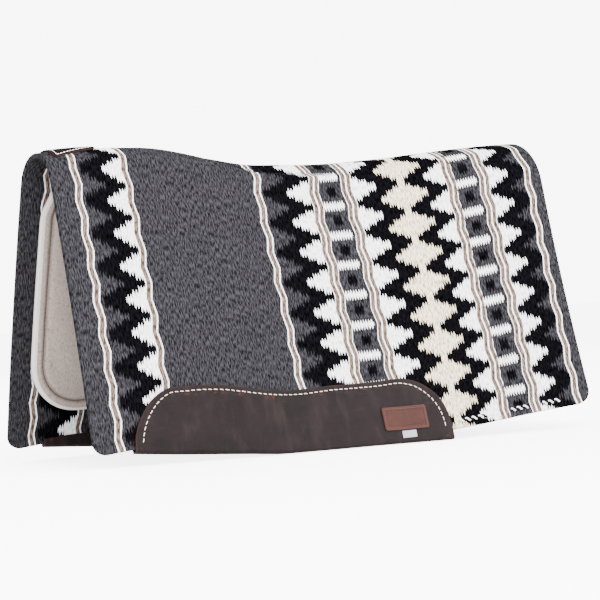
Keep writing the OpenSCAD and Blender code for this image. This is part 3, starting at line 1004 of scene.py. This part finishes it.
@dataclass
class StitchRun:
    """One row of stitches: a stitch is modelled once and copied along a flat path."""

    contour: Contour
    side: Side
    length: float
    thick: float
    pitch: float
    slant: float = 0.0

    def _stitch(self) -> tuple[Values, list[list[int]]]:
        """Model one stitch along x: a short, plump thread whose ends dive into the piece."""
        deselect()
        bpy.ops.mesh.primitive_cylinder_add(vertices=8, radius=self.thick / 2, depth=self.length,
                                            end_fill_type="NGON", rotation=(0, math.pi / 2, 0))
        obj = bpy.context.view_layer.objects.active
        bpy.ops.object.transform_apply(location=True, rotation=True, scale=True)
        bpy.ops.object.mode_set(mode="EDIT")
        bpy.ops.mesh.select_all(action="SELECT")
        for place in (-0.38, -0.25, 0.0, 0.25, 0.38):
            bpy.ops.mesh.select_all(action="SELECT")
            bpy.ops.mesh.bisect(plane_co=(place * self.length, 0.0, 0.0), plane_no=(1, 0, 0))
        bpy.ops.object.mode_set(mode="OBJECT")
        points = get_points(obj.data)
        k = np.abs(points[:, 0]) / (self.length / 2)
        points[:, 1:] *= (1.0 - 0.35 * k**4)[:, None]
        points[:, 2] -= self.thick * 0.75 * k**6
        faces = [list(p.vertices) for p in obj.data.polygons]
        bpy.data.objects.remove(obj)
        return points, faces

    def build(self, name: str, path: Values, depth: float,
              extra: Callable[[Values, Values], Values] | None = None) -> bpy.types.Object:
        """Sew a path.

        Args:
            name: Name of the piece.
            path: Corners of the path, one (u, v) per row.
            depth: Depth of the surface that is sewn, inside the blanket's outer face.
            extra: More depth at a flat place, where that surface is pressed in.

        Returns:
            The row of stitches.
        """
        points, faces = self._stitch()
        centre, way = resample(path, self.pitch)
        cos, sin = math.cos(math.radians(self.slant)), math.sin(math.radians(self.slant))
        way = np.stack([way[:, 0] * cos - way[:, 1] * sin, way[:, 0] * sin + way[:, 1] * cos], axis=1)
        more = extra(centre[:, 0], centre[:, 1]) if extra else 0.0
        at = self.contour.place(self.side, centre[:, 0], centre[:, 1], depth + more)
        step = 1e-3
        on = centre + way * step
        ahead = self.contour.place(self.side, on[:, 0], on[:, 1], depth + more)
        out = self.contour.place(self.side, centre[:, 0], centre[:, 1], depth + more - step) - at
        x_axis = (ahead - at) / np.linalg.norm(ahead - at, axis=1, keepdims=True)
        z_axis = out / np.linalg.norm(out, axis=1, keepdims=True)
        y_axis = np.cross(z_axis, x_axis)
        frames = np.stack([x_axis, y_axis, z_axis], axis=1)
        all_points = (np.einsum("pk,nkc->npc", points, frames) + at[:, None, :]).reshape(-1, 3)
        all_faces = [[i + n * len(points) for i in face] for n in range(len(centre)) for face in faces]
        mesh = bpy.data.meshes.new(name)
        mesh.from_pydata(all_points.tolist(), [], all_faces)
        mesh.update()
        obj = bpy.data.objects.new(name, mesh)
        bpy.context.scene.collection.objects.link(obj)
        smooth(obj, 50)
        return obj


@dataclass
class Blanket:
    """One half of the woven top, from the spine to the hem, as one continuous sheet."""

    contour: Contour
    side: Side
    thickness: float = 0.007
    corner: float = 0.022
    rim: float = 0.0026
    fine_rows: int = 26
    rows: int = 82
    columns: int = 160

    def stations(self) -> Values:
        """Columns along the pad, closer together over the rounded corners."""
        quarter = self.corner * (1 - np.cos(np.linspace(0, math.pi / 2, 9)))
        middle = np.linspace(self.corner, self.contour.length - self.corner, self.columns + 1)
        return np.concatenate([quarter[:-1], middle, (self.contour.length - quarter[:-1])[::-1]])

    def rungs(self) -> Values:
        """Rows down the drop as fractions, finest over the crest."""
        fine = np.linspace(0.0, 0.065, self.fine_rows + 1)
        coarse = np.linspace(0.065, self.contour.drop, self.rows + 1)
        return np.concatenate([fine[:-1], coarse]) / self.contour.drop

    def build(self, wool: bpy.types.Material) -> bpy.types.Object:
        """Cut the half, lay it over the back, give it its thickness and rounded rims."""
        us, vs = self.stations(), self.rungs()
        obj = flat_grid(f"blanket_{self.side.value}", len(us) - 1, len(vs) - 1)
        s, r = grid_places(obj)
        u = np.interp(s, np.linspace(0, 1, len(us)), us)
        end = np.minimum(u, self.contour.length - u)
        hem = self.contour.drop - rounded(end, self.corner, self.corner)
        v = np.interp(r, np.linspace(0, 1, len(vs)), vs) * hem
        depth = self.contour.crease_depth(u, v) if self.side is Side.NEAR else np.zeros_like(u)
        weave = self.contour.woven(u, v)
        if self.side is Side.NEAR:
            weave[:, 0] += self.contour.seam_drift(u, v)
        set_flat(obj.data, weave)
        set_points(obj.data, self.contour.place(self.side, u, v, depth))
        if self.side is Side.NEAR:
            turn_out(obj)
        apply(obj, "SOLIDIFY", thickness=self.thickness, offset=-1.0, use_even_offset=True)
        points = get_points(obj.data)
        middle = (np.abs(points[:, 1]) < 0.0015) & (points[:, 2] > self.contour.lift - 0.07)
        points[middle, 1] = 0.0
        set_points(obj.data, points)
        round_edges(obj, self.rim, 3, on_spine)
        smooth(obj, 60)
        dress(obj, wool)
        return obj


@dataclass
class PadLayer:
    """One half of a padded layer under the blanket, with rounded lower corners."""

    contour: Contour
    side: Side
    name: str
    outer: float
    inner: float
    inset: float
    corner: float
    hem: float = 0.050
    relief: float = 0.017
    cell: float = 0.0065
    sewn: float = 0.0

    def front(self, v: Values) -> Values:
        """Front edge of the layer, set back over the withers."""
        return self.inset + self.relief * ease((0.125 - v) / 0.055)

    def edge_distance(self, u: Values, v: Values) -> Values:
        """Distance of a flat place from the layer's free edges."""
        bottom = self.contour.drop - self.hem
        a = u - self.front(v)
        b = self.contour.length - self.inset - u
        side = np.minimum(a, b)
        low = bottom - v
        corner = self.corner - np.hypot(np.maximum(self.corner - side, 0), np.maximum(self.corner - low, 0))
        return np.where((side < self.corner) & (low < self.corner), corner, np.minimum(side, low))

    def groove(self, u: Values, v: Values) -> Values:
        """Depth of the sewn border groove."""
        if not self.sewn:
            return np.zeros_like(u)
        return 0.0026 * np.exp(-(((self.edge_distance(u, v) - self.sewn) / 0.0030) ** 2))

    def border(self) -> Values:
        """Path of the border stitching, from the spine down the front, along the bottom and up the rear."""
        r = self.corner - self.sewn
        bottom = self.contour.drop - self.hem - self.sewn
        rear = self.contour.length - self.inset - self.sewn
        down = np.linspace(0.004, bottom - r, 60)
        arc = np.linspace(0, math.pi / 2, 14)[1:]
        lead = self.inset + self.sewn
        parts = [np.stack([self.front(down) + self.sewn, down], axis=1),
                 np.stack([lead + r * (1 - np.cos(arc)), bottom - r + r * np.sin(arc)], axis=1),
                 np.stack([rear - r + r * np.sin(arc), bottom - r + r * np.cos(arc)], axis=1),
                 np.array([[rear, bottom - r], [rear, 0.004]])]
        return np.concatenate(parts)

    def build(self, material: bpy.types.Material, slot: str) -> bpy.types.Object:
        """Cut the layer, lay it inside the blanket, thicken it, puff it up and press the sewn border in."""
        span = self.contour.length - 2 * self.inset
        quarter = self.corner * (1 - np.cos(np.linspace(0, math.pi / 2, 11)))
        middle = np.linspace(self.corner, span - self.corner, int((span - 2 * self.corner) / self.cell) + 1)
        us = np.concatenate([quarter[:-1], middle, (span - quarter[:-1])[::-1]]) / span
        rows = int((self.contour.drop - self.hem) / self.cell)
        obj = flat_grid(self.name, len(us) - 1, rows)
        s, r = grid_places(obj)
        k = np.interp(s, np.linspace(0, 1, len(us)), us)
        end = np.minimum(k, 1 - k) * span
        v = r * (self.contour.drop - self.hem - rounded(end, self.corner, self.corner))
        rear = self.contour.length - self.inset
        u = self.front(v) + k * (rear - self.front(v))
        set_flat(obj.data, np.stack([u, v], axis=1))
        set_points(obj.data, self.contour.place(self.side, u, v, self.outer))
        if self.side is Side.NEAR:
            turn_out(obj)
        apply(obj, "SOLIDIFY", thickness=self.inner - self.outer, offset=-1.0, use_even_offset=True)
        self._meet(obj)
        if self.sewn:
            flat = get_flat(obj.data)
            away = self.edge_distance(flat[:, 0], flat[:, 1])
            held = (np.abs(away - self.sewn) < self.cell * 0.6) | (away < 0.002) | (flat[:, 1] < 0.012)
            swell(obj, np.flatnonzero(held), 1.2, 0.0014)
            apply(obj, "SUBSURF", levels=1, render_levels=1, boundary_smooth="PRESERVE_CORNERS")
            self._press(obj)
        flat = get_flat(obj.data)
        set_value(obj.data, EDGE, self.edge_distance(flat[:, 0], flat[:, 1]))
        smooth(obj, 55)
        dress(obj, material)
        return obj

    def _meet(self, obj: bpy.types.Object) -> None:
        """Bring the spine edge to the middle plane, where the other half meets it."""
        points = get_points(obj.data)
        flat = get_flat(obj.data)
        points[flat[:, 1] < 1e-5, 1] = 0.0
        set_points(obj.data, points)

    def _press(self, obj: bpy.types.Object) -> None:
        """Press the sewn border into both faces."""
        points, flat = get_points(obj.data), get_flat(obj.data)
        normals = np.empty(len(points) * 3)
        obj.data.vertex_normals.foreach_get("vector", normals)
        depth = self.groove(flat[:, 0], flat[:, 1])
        set_points(obj.data, points - normals.reshape(-1, 3) * depth[:, None])


@dataclass
class WearLeather:
    """Leather over the hem of one flap: a shaped panel outside, folded under the hem."""

    contour: Contour
    side: Side
    start: float = 0.061
    length: float = 0.531
    thickness: float = 0.0025
    top_front: float = 0.399
    top_rear: float = 0.388
    nose: float = 0.072
    tail: float = 0.088
    inset: tuple[float, float] = (0.0125, 0.0072)
    foot_rise: float = 0.019
    foot_run: float = 0.255
    lip: float = 0.008
    inner: float = 0.0098
    fold_depth: float = 0.0016

    @property
    def outer(self) -> float:
        """Depth of the outer face."""
        return -0.0003 - self.thickness

    def top(self, dx: Values) -> Values:
        """Top edge of the panel at dx from its front end."""
        level = self.top_front + (self.top_rear - self.top_front) * ease((dx - 0.190) / 0.150)
        depth = self.contour.drop - 0.003 - level
        front = rounded(dx, self.nose, 1.0, 1.7)
        rear = rounded(self.length - dx, self.tail, 1.0, 2.0)
        return level + front * depth + rear * depth

    def outline(self) -> Values:
        """Top edge as a flat path."""
        k = np.linspace(0, 1, 400)
        dx = self.length * (1 - np.cos(k * math.pi)) / 2
        return np.stack([self.start + dx, self.top(dx)], axis=1)

    def seam(self) -> Values:
        """Path of the stitching, an even distance inside the top edge."""
        line = self.outline()
        way = np.gradient(line, axis=0)
        way /= np.linalg.norm(way, axis=1, keepdims=True)
        path = line + np.stack([-way[:, 1] * self.inset[0], way[:, 0] * self.inset[1]], axis=1)
        ends = self.inset[0] * 0.93
        inside = (path[:, 0] > self.start + ends) & (path[:, 0] < self.start + self.length - ends)
        return path[inside & (path[:, 1] < self.contour.drop - 0.006)]

    def pressed(self, u: Values, v: Values) -> Values:
        """How far the stitching and handling press the leather in at a flat place."""
        seam = self.seam()
        away = np.full(np.shape(u), 1.0)
        for n in range(0, len(seam), 2):
            away = np.minimum(away, np.hypot(u - seam[n, 0], v - seam[n, 1]))
        dents = 0.0006 * np.sin(u * 61.0 + 1.0) * np.sin(v * 47.0 + u * 23.0)
        dents = dents + 0.0004 * np.sin(u * 137.0 + v * 31.0)
        hand = np.exp(-(((u - 0.250) / 0.060) ** 2)) * ease((v - 0.395) / 0.03) * ease((0.478 - v) / 0.03)
        folds = self.fold_depth * hand * np.sin(u * 250.0 + 26.0 * (v - 0.44) + 2.0 * np.sin(u * 60.0))
        return 0.00045 * np.exp(-((away / 0.0022) ** 2)) + dents + folds

    def _foot(self, dx: Values) -> Values:
        """How far below the hem the fold reaches at dx: its lower edge comes down to the ground."""
        t = (self.start + dx) / self.contour.length
        _, up, tilt = self.contour.section(t, np.full_like(dx, self.contour.drop))
        height = up + self.contour.lift - self.outer * np.sin(tilt)
        edge = self.foot_rise * np.maximum(0.0, 1 - dx / self.foot_run)
        return np.maximum((height - edge) / np.cos(tilt), 0.0045)

    def build(self, leather: bpy.types.Material) -> bpy.types.Object:
        """Cut the leather, fold it round the hem and give it its thickness."""
        columns, down, turn, up = 176, 34, 16, 5
        obj = flat_grid(f"wear_leather_{self.side.value}", columns, down + turn + up)
        s, r = grid_places(obj)
        quarter = 0.5 - 0.5 * np.cos(np.clip(s, 0, 1) * math.pi)
        dx = self.length * (0.55 * s + 0.45 * quarter)
        u = self.start + dx
        top, hem = self.top(dx), self.contour.drop
        half = (self.inner - self.outer) / 2
        foot = self._foot(dx)
        k = r * (down + turn + up)
        a, b = np.clip(k / down, 0, 1), np.clip((k - down) / turn, 0, 1)
        c = np.clip((k - down - turn) / up, 0, 1)
        bulge = np.minimum(half, foot)
        level = hem + foot - bulge
        v = top + (level - top) * a
        d = np.full_like(u, self.outer)
        angle = b * math.pi
        bend = b > 0
        v = np.where(bend, level + bulge * np.sin(angle), v)
        d = np.where(bend, self.outer + half * (1 - np.cos(angle)), d)
        v = np.where(c > 0, level - c * (level - (hem - self.lip)), v)
        cut = np.where(bend, level + half * angle + c * (level - hem + self.lip), v)
        set_flat(obj.data, np.stack([u, cut], axis=1))
        press = self.pressed(u, v) * (1 - b)
        points = self.contour.place(self.side, u, v, d + press)
        points[:, 2] = np.maximum(points[:, 2], 0.0003)
        set_points(obj.data, points)
        away = np.full(len(u), 1.0)
        for p in self.outline()[::2]:
            away = np.minimum(away, np.hypot(u - p[0], cut - p[1]))
        away = np.minimum(away, np.minimum(dx, self.length - dx))
        set_value(obj.data, EDGE, away)
        if self.side is Side.NEAR:
            turn_out(obj)
        apply(obj, "SOLIDIFY", thickness=self.thickness, offset=-1.0, use_even_offset=False)
        round_edges(obj, 0.0007, 2, never)
        smooth(obj, 60)
        dress(obj, leather)
        return obj


@dataclass
class Panel:
    """A small panel on the surface with rounded corners: the label, the tag or the withers patch."""

    contour: Contour
    side: Side
    name: str
    corners: tuple[tuple[float, float], tuple[float, float], tuple[float, float], tuple[float, float]]
    outer: float
    thickness: float
    radius: float = 0.003
    frame: float = 0.0
    cells: tuple[int, int] = (60, 34)
    extra: Callable[[Values, Values], Values] | None = None

    def build(self, material: bpy.types.Material, slot: str) -> bpy.types.Object:
        """Cut the panel, lay it on the surface, press a frame line into it and round its edges."""
        obj = flat_grid(self.name, *self.cells)
        s, r = grid_places(obj)
        (a, b), (c, d), (e, f), (h, i) = self.corners
        width, height = math.hypot(c - a, d - b), math.hypot(h - a, i - b)
        x, y = (2 * s - 1) * width / 2, (2 * r - 1) * height / 2
        x, y = self._rounded(x, y, width / 2, height / 2)
        s, r = x / width + 0.5, y / height + 0.5
        u = (a * (1 - s) + c * s) * (1 - r) + (h * (1 - s) + e * s) * r
        v = (b * (1 - s) + d * s) * (1 - r) + (i * (1 - s) + f * s) * r
        away = np.minimum(width / 2 - np.abs(x), height / 2 - np.abs(y))
        depth = self.outer + (0.0006 * np.exp(-(((away - self.frame) / 0.0008) ** 2)) if self.frame else 0.0)
        if self.extra is not None:
            depth = depth + self.extra(u, v)
        set_flat(obj.data, np.stack([u, v], axis=1))
        set_value(obj.data, EDGE, away)
        set_points(obj.data, self.contour.place(self.side, u, v, depth))
        if self.side is Side.NEAR:
            turn_out(obj)
        apply(obj, "SOLIDIFY", thickness=self.thickness, offset=-1.0, use_even_offset=True)
        round_edges(obj, self.thickness * 0.28, 2, never)
        smooth(obj, 50)
        dress(obj, material)
        return obj

    def _rounded(self, x: Values, y: Values, half_x: float, half_y: float) -> tuple[Values, Values]:
        """Pull the grid's corners in to rounded ones."""
        qx, qy = np.abs(x) - (half_x - self.radius), np.abs(y) - (half_y - self.radius)
        both = (qx > 0) & (qy > 0)
        reach = np.maximum(np.hypot(qx, qy), 1e-9)
        limit = np.maximum(qx, qy)
        pull = np.where(both, limit / reach, 1.0)
        return (np.sign(x) * np.where(both, half_x - self.radius + qx * pull, np.abs(x)),
                np.sign(y) * np.where(both, half_y - self.radius + qy * pull, np.abs(y)))


@dataclass
class Selvedge:
    """The twined edge row above a hem: two strands that twist round each other over the warp ends."""

    contour: Contour
    side: Side
    v: float = 0.4715
    twist: float = 0.0125
    reach: float = 0.0013
    strand: float = 0.0014
    stretches: tuple[tuple[float, float], ...] = ((0.588, 0.838),)
    shown: tuple[tuple[float, float], ...] = ((0.604, 0.668), (0.704, 0.748), (0.766, 0.812))
    sunk: float = 0.0034

    def build(self, finishes: Finishes) -> bpy.types.Object:
        """Twist the strands of each stretch, and join them into one piece."""
        parts = []
        for start, end in self.stretches:
            for turn, material in ((0.0, finishes.white_yarn), (math.pi, finishes.black_yarn)):
                parts.append(self._strand(start, end, turn, material))
        activate(parts[0])
        for part in parts[1:]:
            part.select_set(True)
        bpy.ops.object.join()
        obj = bpy.context.view_layer.objects.active
        obj.name = obj.data.name = f"selvedge_{self.side.value}"
        smooth(obj, 80)
        return obj

    def _strand(self, start: float, end: float, turn: float,
                material: bpy.types.Material) -> bpy.types.Object:
        """One strand along a stretch of the hem."""
        count = int((end - start) / self.twist * 10)
        u = np.linspace(start, end, count + 1)
        angle = u / self.twist * 2 * math.pi + turn
        corner = rounded(np.minimum(u, self.contour.length - u), 0.03, 0.012)
        v = self.v - corner + 1.7 * self.reach * np.sin(angle)
        shown = sum(ease((u - a) / 0.008) * ease((b - u) / 0.008) for a, b in self.shown)
        depth = -self.reach * np.cos(angle) + 0.0003 + self.sunk * (1 - shown)
        points = self.contour.place(self.side, u, v, depth)
        curve = bpy.data.curves.new("strand", "CURVE")
        curve.dimensions = "3D"
        curve.bevel_depth = self.strand
        curve.bevel_resolution = 2
        curve.use_fill_caps = True
        spline = curve.splines.new("POLY")
        spline.points.add(len(points) - 1)
        weighted = np.concatenate([points, np.ones((len(points), 1))], axis=1)
        spline.points.foreach_set("co", weighted.astype(np.float32).ravel())
        obj = bpy.data.objects.new("strand", curve)
        bpy.context.scene.collection.objects.link(obj)
        activate(obj)
        bpy.ops.object.convert(target="MESH")
        obj = bpy.context.view_layer.objects.active
        obj.data.materials.clear()
        obj.data.materials.append(material)
        return obj


@dataclass
class Half:
    """One side of the pad, with all that is sewn to it."""

    contour: Contour
    side: Side
    finishes: Finishes

    def build(self) -> None:
        """Build the side's pieces, and join the leather, its stitching and the selvedge to the flap."""
        side, name, flap = self.side, self.side.value, self.side.flap
        start, end = self.contour.fold_band(side)
        blanket = Blanket(self.contour, side).build(self.finishes.wool)
        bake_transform(blanket)
        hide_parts("blanket_crest", f"{name}_blanket")
        LOG.info("blanket of the %s side: %d faces", name, len(blanket.data.polygons))

        core = PadLayer(self.contour, side, f"cushion_{name}", outer=0.0082, inner=0.0130,
                        inset=0.032, corner=0.081, hem=0.054, cell=0.012)
        cushion = core.build(self.finishes.batt, "cushion_core")
        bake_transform(cushion)
        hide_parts("core_crest", f"{name}_core")

        layer = PadLayer(self.contour, side, f"felt_{name}", outer=0.0136, inner=0.0229,
                         inset=0.028, corner=0.085, sewn=0.017)
        felt = layer.build(self.finishes.felt, "wool_felt")
        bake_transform(felt)
        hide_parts("felt_crest", f"{name}_felt")
        LOG.info("felt of the %s side: %d faces", name, len(felt.data.polygons))

        inward = StitchRun(self.contour, side, 0.0052, 0.0012, 0.0066)
        border = inward.build(f"felt_stitching_{name}", layer.border(), layer.inner - 0.0022)
        dress(border, self.finishes.felt_thread)
        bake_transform(border)
        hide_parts(f"{name}_felt_stitching")

        panel = WearLeather(self.contour, side)
        leather = panel.build(self.finishes.leather)
        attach(leather, flap)
        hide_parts(f"{name}_wear_leather")
        seam = StitchRun(self.contour, side, 0.0064, 0.0012, 0.0087, 5.0).build(
            f"wear_stitching_{name}", panel.seam(), panel.outer - 0.0003, panel.pressed)
        dress(seam, self.finishes.cream_thread)
        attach(seam, flap)
        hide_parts(f"{name}_wear_stitching")

        selvedge = Selvedge(self.contour, side).build(self.finishes)
        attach(selvedge, flap)
        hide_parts(f"{name}_selvedge")
        LOG.info("%s side done", name)


@dataclass
class Label:
    """The plain leather label and the small woven tag below it, both on the near side."""

    contour: Contour
    finishes: Finishes
    start: float = 0.473
    length: float = 0.076
    height: float = 0.037
    top: float = 0.431
    fall: float = 0.005
    outer: float = -0.0052

    def build(self) -> None:
        """Build the label, its stitching and the tag."""
        leather = WearLeather(self.contour, Side.NEAR)
        a, b, h = self.start, self.start + self.length, self.height
        corners = ((a, self.top), (b, self.top + self.fall), (b, self.top + self.fall + h), (a, self.top + h))
        panel = Panel(self.contour, Side.NEAR, "label", corners, self.outer, thickness=0.0020,
                      radius=0.0035, frame=0.0062, cells=(74, 40), extra=leather.pressed)
        label = panel.build(self.finishes.label, "label_leather")
        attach(label, "left_flap")
        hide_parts("label_patch")
        inset = 0.0032
        left, right = a + inset, b - inset
        ring = np.array([(left, self.top + inset), (right, self.top + self.fall + inset),
                         (right, self.top + self.fall + h - inset), (left, self.top + h - inset),
                         (left, self.top + inset)])
        run = StitchRun(self.contour, Side.NEAR, length=0.0026, thick=0.0008, pitch=0.0034)
        row = run.build("label_stitches", ring, self.outer - 0.0001, leather.pressed)
        dress(row, self.finishes.label_thread)
        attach(row, "left_flap")
        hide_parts("label_stitching")
        tag_corners = ((0.502, 0.4715), (0.525, 0.4730), (0.5245, 0.4840), (0.5015, 0.4825))
        panel = Panel(self.contour, Side.NEAR, "folded_tag", tag_corners, -0.0041, thickness=0.0010,
                      radius=0.0008, frame=0.0016, cells=(26, 13), extra=leather.pressed)
        tag = panel.build(self.finishes.tag, "woven_tag")
        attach(tag, "left_flap")
        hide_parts("woven_tag")
        LOG.info("label and tag done")


@dataclass
class Crest:
    """What lies on the spine: the stitched withers patch, and the contour seam's tape and thread."""

    contour: Contour
    finishes: Finishes
    nodes: dict[str, bpy.types.Object]
    start: float = 0.015
    length: float = 0.074
    half: float = 0.036
    taper: float = 0.019
    outer: float = -0.0028

    def build(self) -> None:
        """Build the crest's pieces."""
        a, b, tail = self.start, self.start + self.length, self.half - self.taper
        corners = ((a, -self.half), (b, -tail), (b, tail), (a, self.half))
        panel = Panel(self.contour, Side.OFF, "withers_patch_leather", corners, self.outer,
                      thickness=0.0025, radius=0.006, frame=0.0075, cells=(50, 48))
        patch = panel.build(self.finishes.patch, "wear_leather")
        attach(patch, "spine")
        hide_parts("withers_patch")
        inset = 0.0052
        ring = np.array([(a + inset, -self.half + inset), (b - inset, -tail + inset),
                         (b - inset, tail - inset),
                         (a + inset, self.half - inset), (a + inset, -self.half + inset)])
        run = StitchRun(self.contour, Side.OFF, length=0.0046, thick=0.0012, pitch=0.0058)
        row = run.build("patch_stitches", ring, self.outer - 0.0002)
        dress(row, self.finishes.white_thread)
        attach(row, "spine")
        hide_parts("withers_patch_stitching")
        line = np.array(self.contour.crease)[1:]
        run = StitchRun(self.contour, Side.NEAR, length=0.0042, thick=0.0011, pitch=0.0062, slant=24.0)
        seam = run.build("contour_seam", line, 0.0027)
        dress(seam, self.finishes.grey_yarn)
        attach(seam, "spine")
        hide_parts("spine_seam_thread")
        tape = self.nodes["spine_seam_tape"]
        tape.data.materials.clear()
        tape.data.materials.append(self.finishes.seam_tape)
        LOG.info("crest done")


# ---------------------------------------------------------------------------------------------
# Studio
# ---------------------------------------------------------------------------------------------


@dataclass(frozen=True)
class Studio:
    """Camera, floor and soft lights."""

    eye: tuple[float, float, float] = (-1.756, -2.824, 0.2232)
    forward: tuple[float, float, float] = (0.530, 0.848, 0.0)
    roll: float = -2.7
    lens: float = 128.2
    world_light: float = 3.2
    backdrop_glow: float = 5.0
    floor_glow: float = 4.3

    def build(self) -> None:
        """Set them up."""
        data = bpy.data.cameras.new("camera")
        data.lens, data.sensor_width, data.clip_end = self.lens, 36.0, 60.0
        camera = bpy.data.objects.new("camera", data)
        look = Vector(self.forward).to_track_quat("-Z", "Y").to_matrix().to_4x4()
        roll = Matrix.Rotation(math.radians(self.roll), 4, "Z")
        camera.matrix_world = Matrix.Translation(self.eye) @ look @ roll
        bpy.context.scene.collection.objects.link(camera)
        bpy.context.scene.camera = camera
        self._floor()
        self._light("key", (-1.3, -3.3, 2.6), 2.4, 450.0)
        self._light("fill", (2.8, -2.2, 1.7), 2.4, 225.0)
        self._light("rim", (-0.4, 2.9, 2.7), 2.2, 250.0)
        world = bpy.data.worlds.new("studio")
        world.use_nodes = True
        tree = world.node_tree
        tree.nodes["Background"].inputs[0].default_value = (1.0, 1.0, 1.0, 1.0)
        path = tree.nodes.new("ShaderNodeLightPath")
        strength = tree.nodes.new("ShaderNodeMath")
        strength.operation = "MULTIPLY_ADD"
        tree.links.new(path.outputs["Is Camera Ray"], strength.inputs[0])
        strength.inputs[1].default_value = self.backdrop_glow
        strength.inputs[2].default_value = self.world_light
        tree.links.new(strength.outputs[0], tree.nodes["Background"].inputs[1])
        bpy.context.scene.world = world

    def _floor(self) -> None:
        """A plain pale floor, brighter to the camera than the light it casts."""
        deselect()
        bpy.ops.mesh.primitive_plane_add(size=40.0, location=(0, 0, -0.0005))
        floor = bpy.context.view_layer.objects.active
        floor.name = "floor"
        material, graph, shader = new_material("pale_floor", Roughness=0.9, Specular_IOR_Level=0.1)
        shader.inputs["Base Color"].default_value = (0.90, 0.90, 0.905, 1.0)
        shader.inputs["Emission Color"].default_value = (1.0, 1.0, 1.0, 1.0)
        path = graph.node("ShaderNodeLightPath")
        glow = graph.math("MULTIPLY", path.outputs["Is Camera Ray"], self.floor_glow)
        graph.put(shader.inputs["Emission Strength"], glow)
        floor.data.materials.append(material)

    @staticmethod
    def _light(name: str, place: tuple[float, float, float], size: float, power: float) -> None:
        """A square soft light that points at the pad."""
        data = bpy.data.lights.new(name, "AREA")
        data.size, data.energy = size, power
        lamp = bpy.data.objects.new(name, data)
        aim = Vector((0.0, 0.0, 0.25)) - Vector(place)
        lamp.matrix_world = Matrix.Translation(place) @ aim.to_track_quat("-Z", "Y").to_matrix().to_4x4()
        bpy.context.scene.collection.objects.link(lamp)


def main() -> None:
    """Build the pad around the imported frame, and report each piece."""
    logging.basicConfig(level=logging.INFO, format="%(name)s: %(message)s")
    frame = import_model()
    Studio().build()
    contour = Contour(top=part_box("blanket_crest")[1][2])
    LOG.info("withers stand %.1f mm high", contour.lift * 1000)
    finishes = Finishes()
    for side in Side:
        Half(contour, side, finishes).build()
    Label(contour, finishes).build()
    Crest(contour, finishes, frame["nodes"]).build()
    deselect()


if __name__ == "__main__":
    main()
